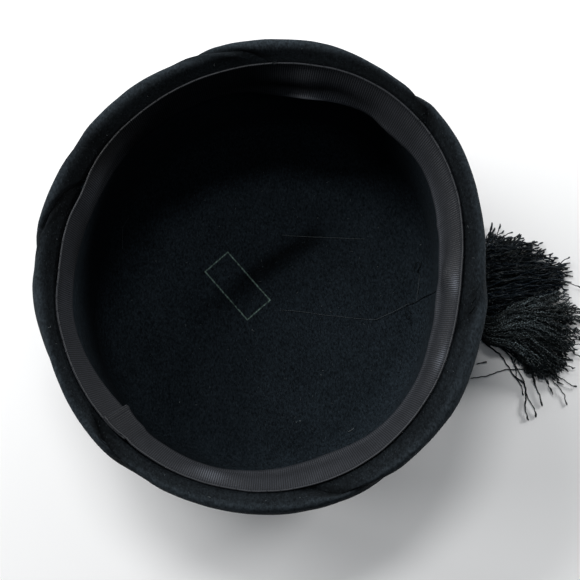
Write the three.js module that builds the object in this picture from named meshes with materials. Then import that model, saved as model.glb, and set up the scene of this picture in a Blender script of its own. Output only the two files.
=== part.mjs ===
// A cocktail hat lying on its crown: a blocked felt crown, a felt drape folded slantwise round its side,
// a grosgrain sweatband inside the opening, and a tassel sewn low on one side, its skirt spread flat.
// Millimetres. +Z runs up out of the opening, +X points to the tassel, and the origin is the middle of the
// underside of the crown's tip. Angles are in degrees, counterclockwise seen from above, from +X.
import * as THREE from "three";

// Driving dimensions
const HEIGHT = 86; // from the tip's underside to the top of the drape's roll
const FELT = 2.2; // thickness of the felt
const GAP = 0.35; // clearance between pieces that touch

const OPENING_RADIUS = 89.1; // mean radius of the sweatband's sewn edge
// The opening is an oval, pulled a little out of true. Each row adds a wave to its radius.
const OPENING_WAVES = [
  { lobes: 1, height: 1.5, peak: 2 },
  { lobes: 2, height: 3.8, peak: 69 }, // the oval's long way
  { lobes: 3, height: 1.5, peak: 54 },
  { lobes: 4, height: 0.8, peak: 41 },
];

const CROWN = {
  rimDrop: 6.6, // the wall ends this far under the top of the drape's roll
  rimOut: 0.5, // inner face of the wall at the rim, outside the sewn edge
  taper: 5.2, // how much nearer the middle the wall stands at the tip
  corner: 12, // inner radius of the turn from tip to wall
  cornerSteps: 4,
  wallSteps: 4,
  tipRings: 6,
  columns: 60,
};
// The crease pressed across the inner face of the tip.
const CREASE = { from: [-38, -4], to: [34, 33], depth: 1.0, reach: 8 };

// The drape's folds, counterclockwise. Each is tucked at its counterclockwise end, where the next fold laps
// over it. The lapping edge there leaves the sweatband at "foot", passes the outermost line at "brow" and
// reaches the hem at "hem". lead, middle and trail say how far the fold stands out from the sewn edge just
// before that edge, half way along, and just past the edge by which it laps over the fold before. notch is
// the depth of the valley at the edge where it is tucked.
const FOLDS = [
  { name: "front", foot: 42, brow: 50.6, hem: 90, lead: 8.7, middle: 9.0, trail: 9.9, notch: 1.7 },
  { name: "upper", foot: 88, brow: 109.5, hem: 146, lead: 11.4, middle: 10.8, trail: 7.8, notch: 1.8 },
  { name: "soft", foot: 145, brow: 147, hem: 186, lead: 12.2, middle: 12.0, trail: 11.1, notch: 0.6 },
  { name: "left", foot: 160, brow: 174.4, hem: 214, lead: 11.9, middle: 12.2, trail: 12.4, notch: 1.8 },
  { name: "lower", foot: 223.4, brow: 236.6, hem: 276, lead: 8.7, middle: 7.8, trail: 10.9, notch: 1.7 },
  { name: "back", foot: 283.7, brow: 298.7, hem: 338, lead: 9.7, middle: 9.4, trail: 8.7, notch: 1.7 },
  { name: "tassel", foot: 344.5, brow: 357.5, hem: 396, lead: 12.0, middle: 12.8, trail: 10.7, notch: 1.6 },
];
// Where a fold is at its lead, middle and trail values, as shares of its width clockwise from its tucked end.
const LEAD_AT = 0.12;
const MIDDLE_AT = 0.5;
const TRAIL_AT = 0.86;
// Where the columns of a fold stand, as shares of its width, and how full the fold is there.
const FOLD_COLUMNS = [
  { at: 0, full: 0 },
  { at: 0.05, full: 0.7 },
  { at: LEAD_AT, full: 1 },
  { at: 0.24, full: 1 },
  { at: 0.38, full: 0.96 },
  { at: MIDDLE_AT, full: 0.92 },
  { at: 0.62, full: 0.86 },
  { at: 0.75, full: 0.78 },
  { at: TRAIL_AT, full: 0.66 },
  { at: 0.94, full: 0.36 },
];
// The outer face of the drape, from the sweatband over the roll and down to the hem. out is a share of how
// far the fold stands out, shift is added to it, drop is how far under the top, and sway is 0 where the
// lapping edges are at foot, 1 at brow and 2 at hem. In the valley between two folds the row is lower by
// sink and nearer the crown by dent.
const DRAPE_ROWS = [
  { name: "foot", out: 0, shift: 0.6, drop: 4.0, sway: 0, sink: 0, dent: 0 },
  { name: "groove", out: 0.2, shift: 0.3, drop: 3.0, sway: 0.05, sink: 0.7, dent: 0 },
  { name: "slope", out: 0.42, shift: 0.2, drop: 1.3, sway: 0.2, sink: 1.6, dent: 0 },
  { name: "roll", out: 0.68, shift: 0, drop: 0, sway: 0.48, sink: 2.3, dent: 0 },
  { name: "shoulder", out: 0.89, shift: 0, drop: 1.4, sway: 0.8, sink: 2.2, dent: 0 },
  { name: "brow", out: 1, shift: 0, drop: 6, sway: 1, sink: 1.2, dent: 0.3 },
  { name: "under_brow", out: 1, shift: 0.2, drop: 14, sway: 1.12, sink: 0, dent: 1.0 },
  { name: "side_high", out: 0.96, shift: 0.6, drop: 26, sway: 1.3, sink: 0, dent: 2.0 },
  { name: "side_middle", out: 0.88, shift: 0.4, drop: 40, sway: 1.5, sink: 0, dent: 2.5 },
  { name: "side_low", out: 0.74, shift: -0.2, drop: 54, sway: 1.7, sink: 0, dent: 2.0 },
  { name: "turn", out: 0.52, shift: -0.8, drop: 66, sway: 1.86, sink: 0, dent: 1.2 },
  { name: "swell", out: 0.25, shift: -1.3, drop: 75, sway: 1.96, sink: 0, dent: 0.4 },
  { name: "hem", out: 0, shift: -2.2, drop: 81, sway: 2, sink: 0, dent: 0 },
];

const SWEATBAND = {
  width: 25,
  thickness: 1.0,
  topDrop: 3.6, // sewn edge, under the top of the drape's roll
  upright: 4, // the strip stands upright over this much of its width, then leans in
  seam: 223, // cut edge of the end that lies inside the other
  overlap: 9,
  stepOut: 6, // past the overlap the strip takes this much to move out to the wall
  columns: 84,
};
// How far the sweatband's free edge leans in from its sewn edge.
const LEAN = [
  { angle: 0, lean: 7.3 },
  { angle: 36, lean: 5.8 },
  { angle: 50, lean: 7.1 },
  { angle: 59, lean: 5.3 },
  { angle: 76, lean: 6.8 },
  { angle: 110, lean: 4.0 },
  { angle: 144, lean: 1.7 },
  { angle: 165, lean: 2.8 },
  { angle: 180, lean: 1.8 },
  { angle: 200, lean: 3.0 },
  { angle: 219, lean: 6.3 },
  { angle: 224, lean: 7.6 },
  { angle: 238, lean: 5.8 },
  { angle: 260, lean: 6.1 },
  { angle: 290, lean: 8.5 },
  { angle: 311, lean: 5.9 },
  { angle: 328, lean: 5.4 },
  { angle: 335, lean: 6.6 },
];

const TASSEL = {
  root: 86.2, // from the middle of the crown to the point that the threads fan out from
  floorGap: 0.4,
  headFrom: 85.5,
  headLength: 11.8,
  headWidth: 17,
  headHeight: 10.4,
  headSides: 16,
  skirtFrom: 11.5, // from the root to the start of the skirt
  skirtColumns: 20,
};
// The skirt, by the direction that its threads take from the root: how far they reach, and how high they lie.
const SKIRT = [
  { angle: -50, reach: 62, height: 4 },
  { angle: -40, reach: 72, height: 8 },
  { angle: -26, reach: 75, height: 12 },
  { angle: -10, reach: 75, height: 14 },
  { angle: -1, reach: 66, height: 12 },
  { angle: 5, reach: 55, height: 9 },
  { angle: 16, reach: 59, height: 12 },
  { angle: 32, reach: 56, height: 13 },
  { angle: 46, reach: 48, height: 7 },
];
// Steps along the threads: the share of the reach, and the share of the height there.
const SKIRT_STEPS = [
  { along: 0, height: 0.75 },
  { along: 0.16, height: 1 },
  { along: 0.4, height: 1 },
  { along: 0.65, height: 0.8 },
  { along: 0.87, height: 0.5 },
  { along: 1, height: 0.16 },
];

const { degToRad, euclideanModulo, lerp } = THREE.MathUtils;
const ease = (share) => (1 - Math.cos(Math.PI * THREE.MathUtils.clamp(share, 0, 1))) / 2;

// A column's value at an angle, eased from row to row of a table that goes once round.
function around(rows, angle, column) {
  const turned = euclideanModulo(angle, 360);
  const after = rows.findIndex((row) => row.angle > turned);
  const first = rows.at(after - 1);
  const next = after < 0 ? { ...rows[0], angle: 360 + rows[0].angle } : rows[after];
  return lerp(first[column], next[column], ease((turned - first.angle) / (next.angle - first.angle)));
}

// A column's value at an angle between the first and last rows of a table.
function between(rows, angle, column) {
  const after = Math.max(1, rows.findIndex((row) => row.angle >= angle));
  const first = rows[after - 1];
  const next = rows[after];
  return lerp(first[column], next[column], ease((angle - first.angle) / (next.angle - first.angle)));
}

// The distance from the middle to the sweatband's sewn edge.
function openingRadius(angle) {
  let radius = OPENING_RADIUS;
  for (const wave of OPENING_WAVES) {
    radius += wave.height * Math.cos(wave.lobes * degToRad(angle - wave.peak));
  }
  return radius;
}

// A point at an angle, a distance from the middle and a height.
function pointAt(angle, radius, z) {
  return new THREE.Vector3(radius * Math.cos(degToRad(angle)), radius * Math.sin(degToRad(angle)), z);
}

// A point at a height, a distance outside the sewn edge.
function pointOutside(angle, out, z) {
  return pointAt(angle, openingRadius(angle) + out, z);
}

function geometryOf(triangles) {
  const geometry = new THREE.BufferGeometry().setFromPoints(triangles);
  geometry.computeVertexNormals();
  return geometry;
}

// The skin over sections that are closed loops of as many points each, standing one after the other.
function skinOver(sections, isRing) {
  const triangles = [];
  const spans = isRing ? sections.length : sections.length - 1;
  for (let span = 0; span < spans; span++) {
    const here = sections[span];
    const next = sections[(span + 1) % sections.length];
    here.forEach((corner, index) => {
      const following = (index + 1) % here.length;
      triangles.push(corner, here[following], next[following]);
      triangles.push(corner, next[following], next[index]);
    });
  }
  if (!isRing) {
    const first = sections[0];
    const last = sections.at(-1);
    for (let index = 1; index < first.length - 1; index++) {
      triangles.push(first[0], first[index + 1], first[index]);
      triangles.push(last[0], last[index], last[index + 1]);
    }
  }
  return triangles;
}

// How deep the crease is at a point of the tip.
function creaseDepth(x, y) {
  const from = new THREE.Vector3(...CREASE.from, 0);
  const to = new THREE.Vector3(...CREASE.to, 0);
  const point = new THREE.Vector3(x, y, 0);
  const nearest = new THREE.Line3(from, to).closestPointToPoint(point, true, new THREE.Vector3());
  return CREASE.depth * Math.exp(-((point.distanceTo(nearest) / CREASE.reach) ** 2));
}

// The crown's section in steps of radius and height, for an opening of the mean radius: out over the inner
// face of the tip, up the wall, over the rim, down the wall's outer face and in to the edge of the underside.
function crownSteps() {
  const rim = HEIGHT - CROWN.rimDrop;
  const rimRadius = OPENING_RADIUS + CROWN.rimOut;
  const footRadius = rimRadius - CROWN.taper;
  const tipRadius = footRadius - CROWN.corner;
  const footHeight = FELT + CROWN.corner;
  const corner = (radius) => new THREE.EllipseCurve(tipRadius, footHeight, radius, radius, -Math.PI / 2, 0);
  const wall = (outward) =>
    Array.from({ length: CROWN.wallSteps }, (_, step) => {
      const share = (step + 1) / CROWN.wallSteps;
      return new THREE.Vector2(lerp(footRadius, rimRadius, share) + outward, lerp(footHeight, rim, share));
    });
  const tip = Array.from(
    { length: CROWN.tipRings - 1 },
    (_, ring) => new THREE.Vector2((tipRadius * (ring + 1)) / CROWN.tipRings, FELT),
  );
  const inner = [...tip, ...corner(CROWN.corner).getPoints(CROWN.cornerSteps), ...wall(0)];
  const outer = [...corner(CROWN.corner + FELT).getPoints(CROWN.cornerSteps), ...wall(FELT)];
  return { inner, outer: outer.reverse() };
}

// The crown is one thickness of felt, with the crease pressed into the inner face of its tip.
function crownGeometry() {
  const { inner, outer } = crownSteps();
  const columns = Array.from({ length: CROWN.columns }, (_, column) => {
    const angle = (360 * column) / CROWN.columns;
    const scale = openingRadius(angle) / OPENING_RADIUS;
    const place = ({ x: radius, y: height }) => pointAt(angle, radius * scale, height);
    const innerPoints = inner.map(place);
    for (const point of innerPoints.slice(0, CROWN.tipRings)) {
      point.z -= creaseDepth(point.x, point.y);
    }
    return [...innerPoints, ...outer.map(place)];
  });
  const innerMiddle = new THREE.Vector3(0, 0, FELT - creaseDepth(0, 0));
  const outerMiddle = new THREE.Vector3(0, 0, 0);
  const triangles = [];
  columns.forEach((here, column) => {
    const next = columns[(column + 1) % columns.length];
    triangles.push(innerMiddle, here[0], next[0]);
    for (let step = 0; step < here.length - 1; step++) {
      triangles.push(here[step], here[step + 1], next[step + 1]);
      triangles.push(here[step], next[step + 1], next[step]);
    }
    triangles.push(outerMiddle, next.at(-1), here.at(-1));
  });
  return geometryOf(triangles);
}

// The angle at which the edge that laps over a fold's tucked end crosses a row of the drape.
function edgeAngle(fold, sway) {
  return sway <= 1 ? lerp(fold.foot, fold.brow, sway) : lerp(fold.brow, fold.hem, sway - 1);
}

// How far a fold stands out, at a share of its width clockwise from its tucked end. next laps over that end,
// and the fold's other end laps over previous.
function standsOut(fold, next, previous, share) {
  const valley = Math.min(fold.lead, next.trail) - fold.notch;
  const otherValley = Math.min(previous.lead, fold.trail) - previous.notch;
  if (share < LEAD_AT) {
    return lerp(valley, fold.lead, Math.sqrt(share / LEAD_AT));
  }
  if (share < MIDDLE_AT) {
    return lerp(fold.lead, fold.middle, ease((share - LEAD_AT) / (MIDDLE_AT - LEAD_AT)));
  }
  if (share < TRAIL_AT) {
    return lerp(fold.middle, fold.trail, ease((share - MIDDLE_AT) / (TRAIL_AT - MIDDLE_AT)));
  }
  return lerp(fold.trail, otherValley, ((share - TRAIL_AT) / (1 - TRAIL_AT)) ** 2);
}

// The drape's outer face: columns of points from foot to hem, counterclockwise.
function drapeFace() {
  const columns = [];
  for (let index = FOLDS.length - 1; index >= 0; index--) {
    const fold = FOLDS[index];
    const next = FOLDS[(index + 1) % FOLDS.length];
    const previous = FOLDS.at(index - 1);
    const turn = index === 0 ? 360 : 0;
    for (const { at, full } of FOLD_COLUMNS) {
      const out = standsOut(fold, next, previous, at);
      const column = DRAPE_ROWS.map((row) => {
        const angle = lerp(edgeAngle(fold, row.sway), edgeAngle(previous, row.sway) - turn, at);
        const valley = 1 - full;
        const z = HEIGHT - row.drop - row.sink * valley;
        return pointOutside(angle, row.out * out + row.shift - row.dent * valley, z);
      });
      columns.push(column);
    }
  }
  return columns.reverse();
}

// The other face of a sheet of felt whose one face is a ring of columns: each point is moved in along the
// normal by the felt's thickness.
function otherFace(columns) {
  return columns.map((here, index) => {
    const before = columns.at(index - 1);
    const after = columns[(index + 1) % columns.length];
    return here.map((point, row) => {
      const up = here[Math.max(row - 1, 0)];
      const down = here[Math.min(row + 1, here.length - 1)];
      const along = new THREE.Vector3().subVectors(after[row], before[row]);
      const across = new THREE.Vector3().subVectors(down, up);
      const inward = new THREE.Vector3().crossVectors(along, across).normalize();
      return point.clone().addScaledVector(inward, FELT);
    });
  });
}

function drapeGeometry() {
  const face = drapeFace();
  const lining = otherFace(face);
  const sections = face.map((column, index) => [...column, ...lining[index].reverse()]);
  return geometryOf(skinOver(sections, true));
}

// The sweatband is one strip that starts inside its own far end. Each section goes down its outer face and
// up its inner face.
function sweatbandGeometry() {
  const { width, thickness, topDrop, upright, seam, overlap, stepOut } = SWEATBAND;
  const top = HEIGHT - topDrop;
  const sections = [];
  for (let column = 0; column <= SWEATBAND.columns; column++) {
    const angle = seam + ((360 + overlap) * column) / SWEATBAND.columns;
    const inset = (thickness + GAP) * (1 - ease((angle - seam - overlap) / stepOut));
    const lean = around(LEAN, angle, "lean");
    const hang = upright + Math.sqrt((width - upright) ** 2 - lean ** 2);
    const face = [
      { out: 0, z: top },
      { out: 0, z: top - upright },
      { out: -lean, z: top - hang },
    ];
    const outer = face.map(({ out, z }) => pointOutside(angle, out - inset, z));
    const inner = face.map(({ out, z }) => pointOutside(angle, out - inset - thickness, z));
    sections.push([...outer, ...inner.reverse()]);
  }
  return geometryOf(skinOver(sections, false));
}

// The bound root of the tassel: an egg lying along +X, a little flat.
function tasselHeadGeometry() {
  const { headLength, headWidth, headHeight, headFrom, floorGap, headSides } = TASSEL;
  const geometry = new THREE.SphereGeometry(0.5, headSides, headSides / 2);
  geometry.scale(headLength, headWidth, headHeight);
  geometry.translate(headFrom + headLength / 2, 0, floorGap + headHeight / 2);
  return geometry;
}

// The outer form of the threads: sections along them, one beside the other, flat underneath.
function tasselSkirtGeometry() {
  const { root, floorGap, skirtFrom, skirtColumns } = TASSEL;
  const sections = [];
  for (let column = 0; column <= skirtColumns; column++) {
    const angle = lerp(SKIRT[0].angle, SKIRT.at(-1).angle, column / skirtColumns);
    const reach = between(SKIRT, angle, "reach");
    const height = between(SKIRT, angle, "height");
    const place = (along, z) => {
      const point = pointAt(angle, lerp(skirtFrom, reach, along), z);
      point.x += root;
      return point;
    };
    const top = SKIRT_STEPS.map((step) => place(step.along, floorGap + height * step.height));
    sections.push([place(0, floorGap), ...top, place(1, floorGap)]);
  }
  return geometryOf(skinOver(sections, false));
}

const felt = new THREE.MeshStandardMaterial({ color: 0x14181b, roughness: 0.95, metalness: 0 });
const grosgrain = new THREE.MeshStandardMaterial({ color: 0x2a2b2e, roughness: 0.6, metalness: 0 });
const rayon = new THREE.MeshStandardMaterial({ color: 0x15171a, roughness: 0.45, metalness: 0 });

const hat = new THREE.Group();
function addPiece(name, geometry, material) {
  const mesh = new THREE.Mesh(geometry, material.clone());
  mesh.name = name;
  hat.add(mesh);
}
addPiece("crown", crownGeometry(), felt);
addPiece("draped_felt", drapeGeometry(), felt);
addPiece("sweatband", sweatbandGeometry(), grosgrain);
addPiece("tassel_head", tasselHeadGeometry(), rayon);
addPiece("tassel_skirt", tasselSkirtGeometry(), rayon);

export default hat;
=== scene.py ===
# The looks of a cocktail hat that lies on its crown: brushed felt, a grosgrain sweatband sewn inside the
# opening, the stitches and loose threads, and the fanned threads of the tassel. The tables are in
# millimetres and degrees, counterclockwise seen from above, from the side of the tassel.
import math
import random

import bpy
import numpy as np
from bpy.props import FloatProperty, FloatVectorProperty, PointerProperty
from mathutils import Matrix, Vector, noise
from mathutils.bvhtree import BVHTree


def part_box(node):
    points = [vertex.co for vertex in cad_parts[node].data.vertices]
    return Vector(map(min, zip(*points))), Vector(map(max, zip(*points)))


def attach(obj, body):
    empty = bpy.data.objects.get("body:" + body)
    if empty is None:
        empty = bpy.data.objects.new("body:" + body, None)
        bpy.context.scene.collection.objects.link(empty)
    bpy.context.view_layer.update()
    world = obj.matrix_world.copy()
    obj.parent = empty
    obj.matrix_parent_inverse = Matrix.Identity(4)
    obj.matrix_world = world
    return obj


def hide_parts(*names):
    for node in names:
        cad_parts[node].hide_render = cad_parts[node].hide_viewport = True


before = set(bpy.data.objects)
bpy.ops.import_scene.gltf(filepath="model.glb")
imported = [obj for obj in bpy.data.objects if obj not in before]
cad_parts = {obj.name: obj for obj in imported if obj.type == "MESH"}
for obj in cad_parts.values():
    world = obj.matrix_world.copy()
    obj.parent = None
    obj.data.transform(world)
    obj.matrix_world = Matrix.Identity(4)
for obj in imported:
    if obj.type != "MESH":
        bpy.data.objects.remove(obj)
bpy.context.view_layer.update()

bl_info = {
    "name": "Cocktail Hat",
    "version": (1, 0, 0),
    "blender": (4, 5, 0),
    "location": "3D View > Sidebar > Cocktail Hat",
    "description": "Felt, sweatband, stitches and tassel of a draped cocktail hat",
    "category": "Object",
}
MM = 0.001
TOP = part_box("draped_felt")[1].z / MM  # the top of the drape's roll
BODY = "root"
NOISE_SPAN = (0.3, 0.7)  # where most of a noise texture's values lie


def table(columns, *rows):
    """Rows of values as dictionaries, from the names of the columns and a tuple for each row."""
    return [dict(zip(columns.split(), row, strict=True)) for row in rows]


# The oval of the opening, a little out of true. Each row adds a wave to its radius.
OPENING_WAVES = table(
    "lobes height peak",
    (1, 1.5, 2),
    (2, 3.8, 69),
    (3, 1.5, 54),
    (4, 0.8, 41),
)

# The folds of the drape. Each is tucked at its counterclockwise end, where the next fold laps over it along
# an edge from foot over brow to hem. lead, middle and trail say how far it stands out from the sweatband's
# sewn edge just before that edge, half way and past its other end, notch is the depth of the valley at its
# tucked end, and lip says how much the edge that laps over it stands up.
FOLDS = table(
    "foot brow hem lead middle trail notch lip",
    (42, 50.6, 90, 8.9, 9.0, 9.9, 1.9, 0.4),  # front
    (88, 109.5, 146, 11.6, 10.8, 7.8, 1.8, 1.0),  # upper
    (143, 147, 186, 12.2, 12.0, 11.1, 0.8, 0.05),  # soft
    (154, 174.4, 214, 12.2, 12.2, 12.4, 2.5, 1.0),  # left
    (223.4, 236.6, 276, 9.0, 7.8, 10.9, 2.6, 1.1),  # lower
    (283.7, 298.7, 338, 10.0, 9.4, 8.9, 1.9, 0.4),  # back
    (344.5, 357.5, 396, 12.0, 12.8, 10.7, 1.3, 0.05),  # tassel
)
LEAD_AT, MIDDLE_AT, TRAIL_AT = 0.88, 0.5, 0.14  # shares of a fold's width from its lapping edge
MEASURED_AT = 100  # the radius at which the folds' widths and the sweatband's unevenness are measured

# The outer face of the drape from the sweatband over the roll to the hem. out is a share of how far the
# fold stands out, shift is added to it, drop is how far under the top, and round_drop the same where the
# roll is round. sway is 0 where the lapping edges are at foot, 1 at brow and 2 at hem. dip scales the dip in
# SECTIONS, deep the valleys and lip the lapping edges. The column after dip's neighbours is how much shade is
# painted into the nap's colour, and steps is how many rows of the mesh lie between a row and the next.
DRAPE_ROWS = table(
    "out shift drop round_drop sway dip pressed deep lip steps",
    (0, 0.32, 3.6, 4.3, 0, 1, 1, 0.3, 0.5, 5),  # foot
    (0.2, 0.3, 3.0, 2.3, 0.14, 0.72, 0.97, 0.7, 0.9, 6),  # groove
    (0.42, 0.2, 1.3, 0.35, 0.34, 0.4, 0.86, 1.0, 1.0, 7),  # slope
    (0.68, 0, 0, 0.6, 0.58, 0.1, 0.05, 1.1, 1.0, 7),  # roll
    (0.89, 0, 1.4, 2.4, 0.83, 0, 0.02, 1.0, 0.8, 6),  # shoulder
    (1, 0, 6, 6.6, 1, 0, 0.55, 1.0, 0.5, 6),  # brow
    (1, 0.2, 14, 14, 1.12, 0, 0.4, 1.3, 0.8, 7),  # under brow
    (0.96, 0.6, 26, 26, 1.3, 0, 0.3, 1.7, 1.0, 7),  # side high
    (0.88, 0.4, 40, 40, 1.5, 0, 0.3, 1.8, 1.0, 7),  # side middle
    (0.74, -0.2, 54, 54, 1.7, 0, 0.3, 1.4, 1.0, 6),  # side low
    (0.52, -0.8, 66, 66, 1.86, 0, 0.3, 1.0, 0.9, 5),  # turn
    (0.25, -1.3, 75, 75, 1.96, 0, 0.3, 0.5, 0.6, 4),  # swell
    (0, -2.2, 81, 81, 2, 0, 0.4, 0.2, 0.3, 0),  # hem
)

# A lapping edge in section, from the groove under it over its rounded lip: how far each step stands past
# the edge and how high it is, and at, its place on the fold without the lip.
LIP_STEPS = table(
    "at past up",
    (0.02, 0.10, -0.50), (0.06, -0.08, -0.25), (0.10, -0.16, 0.05), (0.16, -0.04, 0.38),
    (0.30, 0.30, 0.72), (0.70, 0.95, 1.05), (1.8, 2.2, 1.38), (3.4, 3.9, 1.42), (5.5, 5.9, 1.05),
    (8.0, 8.3, 0.5), (11.0, 11.15, 0.1),
)
TUCK_STEPS = [11, 9, 7.2, 5.6, 4.2, 3.0, 2.0, 1.2, 0.6, 0.15]  # distances before the next lapping edge
FOLD_STEP = 2.2  # about how far apart the columns are between the lips
TUCK_REACH, LAP_REACH = 11, 18  # how wide the valley is on either side of a lapping edge
LAP_FALL = 1.5  # how fast the valley closes past the lapping edge
VALLEY_PAINTED_SHADE = 0.5  # how much shade a millimetre of the valley's depth paints into the nap

# How much of the outer face's ripples and valleys the inner face follows.
INNER_RIPPLES, INNER_VALLEYS = 0.5, 0.8
STILL_ROWS, STILL_SHARE = 8, 0.2  # the ripples grow over these rows, from this share at the foot

# The drape round the opening. dip is how much further its foot drops beside the sweatband than DRAPE_ROWS
# says, round how round the roll is, and the last column how much more shade is painted towards the foot.
SECTIONS = table(
    "angle dip round soil",
    (0, 0.6, 0.2, 0.4), (30, 1.0, 0.4, 0.5), (60, 1.8, 0.9, 0.4), (90, 2.2, 1.0, -0.4),
    (120, 2.4, 1.0, 0.1), (150, 2.4, 0.8, 1.1), (180, 1.6, 0.4, 0.7), (210, 0.8, 0.1, 0.2),
    (250, 0.1, 0, 0), (300, 0, 0, 0), (340, 0.2, 0, 0),
)

# The shares of the dip that the sweatband and the crown's rim follow.
RIBBON_FOLLOWS, RIM_FOLLOWS = 0.7, 0.85
LOWER_IS_WIDER = 0.18  # widens the foot and the sweatband where they lie lower

# Ripples of the felt: height, size and seed of each.
DRAPE_RIPPLES = [(0.40, 24, 3), (0.16, 8, 4)]
CROWN_RIPPLES = [(0.22, 26, 1), (0.10, 9, 2)]

# The blocked crown: its rim under the top and outside the oval, how much narrower it is at the tip, the
# radius of the tip's corner and the steps of the mesh.
CROWN = dict(
    rim_drop=6.6, rim_out=0.5, taper=5.2, corner=12.0, columns=192, tip_rings=38,
    inner_corner=12, inner_wall=26, outer_corner=10, outer_wall=18,
)

# The crease pressed across the tip's inner face, steeper on its left. The stops are x, y and a share of its
# depth.
CREASE = dict(depth=1.3, reach=4.6, left=0.8, right=1.3)
CREASE_STOPS = [
    (-38, -8, 0), (-29, -6, 0.2), (-17, -1, 0.4), (-6, 9.5, 0.85), (12.6, 22, 1), (22, 27.5, 0.8),
    (31, 33, 0),
]

# The sweatband round the opening. inset is how far its sewn edge lies inside the oval, lean how far its
# free edge leans in from the sewn one and, in degrees, belly how far its middle bulges and curl how far its
# last quarter turns in.
RIBBON_ROWS = table(
    "angle inset lean belly curl",
    (0, 0.3, 7.3, 30, 0), (7, 0.1, 7.1, 14, 0), (15, -0.1, 6.9, 8, 0), (17, -0.2, 7.2, 8, 0),
    (19, -0.3, 6.9, 8, 0), (36, -0.1, 5.8, 6, 0), (50, 0.1, 7.0, 4, 6), (59, -0.1, 5.4, 8, 10),
    (68, -0.1, 5.4, 18, 48), (76, 0.2, 7.2, 26, 76), (83, 0.1, 5.8, 22, 50), (95, 0, 3.6, 12, 6),
    (112, -0.2, 2.6, 4, 0), (130, -0.2, 2.2, 4, 0), (141, -0.3, 2.0, 10, 8), (149, 0.2, 2.2, 16, 8),
    (156, 1.3, 1.6, 6, 0), (165, 0.2, 2.4, 4, 0), (180, 0.3, 1.6, 0, 0), (190, -0.6, 1.8, 0, 4),
    (200, -0.1, 3.0, 0, 0), (219, 0.1, 6.3, 0, 0), (227, 0.2, 6.6, 0, 0), (234, 0.6, 5.9, 4, 0),
    (245, 0.2, 5.8, 6, 0), (254, 0, 5.9, 22, 4), (262, -0.1, 6.3, 20, 8), (270, -0.3, 7.1, 8, 8),
    (290, 0.2, 8.5, 8, 8), (302, 0.2, 6.8, 4, 8), (311, 0.2, 5.9, 6, 4), (322, -0.2, 5.5, 8, 4),
    (331, -0.5, 6.1, 15, 0), (338, -0.4, 6.5, 13, 0), (347, 0, 6.1, 12, 6), (354, 0.2, 6.6, 14, 6),
)

# The lie of the sweatband. Its upper part stands upright, and its end, which lies on the other end, is
# shaped over the first degrees: it dips, is lifted a little, is turned under and has a rounded corner.
# crowding draws the rows of the mesh towards both edges.
RIBBON = dict(
    top_drop=3.0, upright=4.0, seam=223.4, overlap=8.0, step_out=2.5, layer=0.6,
    end_dip=1.7, end_dip_reach=3.6, end_dip_fall=1.4, end_lift=0.5, end_lift_reach=6.0, end_lift_fade=1.2,
    turned_under=1.2, turned_fade=0.3, turned_thicker=0.5, end_round=1.5, end_round_reach=1.3,
    selvedge=0.3, selvedge_width=0.55, rows=13, crowding=0.35, rib_columns=4, rib_height=0.2,
)

# Its unevenness: height, size and seed of the ripples that are added to RIBBON_ROWS.
RIBBON_RIPPLES = dict(inset=[(0.12, 9, 7)], belly=[(1.6, 17, 5)], curl=[(1.6, 12, 6)])

# Where the free edge curls: it leans back a little first and turns in over the last quarter.
CURL = dict(back=0.25, back_from=0.45, back_over=0.3, turn=1.25, turn_from=0.72, turn_over=0.16)

# Spots where highlights are painted into the sweatband's colour or, where strength is under zero, shade
# is painted: how far each reaches along the sweatband in degrees, and where it lies and reaches across it, in
# shares of the width from the sewn edge.
PAINTED_LIGHT_SPOTS = table(
    "angle along share across strength",
    (356.8, 3.0, 0.24, 0.08, 3.0),
    (334.1, 3.8, 0.24, 0.08, 2.4),
    (256.5, 4.2, 0.35, 0.13, 1.6),
    (72, 9.0, 0.93, 0.11, 3.2),
    (79, 10.0, 0.64, 0.15, -0.9),
    (95, 13.0, 0.4, 0.6, -0.7),
    (128, 15.0, 0.3, 0.8, -0.7),
    (144, 8.0, 0.1, 0.4, -0.8),
    (171, 9.0, 1.0, 0.35, -0.55),
    (8, 13.0, 0.5, 0.4, -0.3),
    (15, 25.0, 0.9, 0.25, 0.7),
    (153, 6.0, 0.5, 0.25, 0.9),
    (186, 9.0, 0.7, 0.4, 0.45),
    (226, 14.0, 0.3, 0.9, -0.3),
    (322, 40.0, 1.0, 0.2, 0.6),
)
DARKEST_PAINTED_SHADE = -0.9  # painted shade takes no more than this from the sweatband's colour

# The oblong stamped on the tip's inner face, with nothing in it. Its line is solid as far as core and gone
# at fade, in shares of the line's width.
STAMP = dict(
    centre=(-13.0, 4.5), turn=-48.8, length=31.4, width=14.6, line=0.55, core=0.3, fade=0.75, ink=0.9
)


def smooth(share):
    """A share between 0 and 1 that starts and ends softly."""
    share = min(max(share, 0.0), 1.0)
    return (1 - math.cos(math.pi * share)) / 2


def mix(first, second, share):
    return first + (second - first) * share


def curve_through(before, first, second, after, share):
    """A value on the smooth curve between the second and third of four (place, value) pairs."""
    width = second[0] - first[0]
    leave = (second[1] - before[1]) / (second[0] - before[0]) * width
    reach = (after[1] - first[1]) / (after[0] - first[0]) * width
    square, cube = share**2, share**3
    return (
        (2 * cube - 3 * square + 1) * first[1]
        + (cube - 2 * square + share) * leave
        + (3 * square - 2 * cube) * second[1]
        + (cube - square) * reach
    )


def even_curve(values, share):
    """A value on the smooth curve between the second and third of four evenly spaced values."""
    return curve_through(*zip((-1, 0, 1, 2), values), share)


def neighbours(stops, index):
    """A stop with the one before it and the two after it, where the line has them."""
    last = len(stops) - 1
    return [stops[min(max(index + offset, 0), last)] for offset in (-1, 0, 1, 2)]


def between(stops, at):
    """The value at a place between stops, which are pairs of place and number or vector."""
    for (first, low), (second, high) in zip(stops, stops[1:]):
        if at <= second:
            return mix(low, high, max(0.0, at - first) / (second - first))
    return stops[-1][1]


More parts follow.
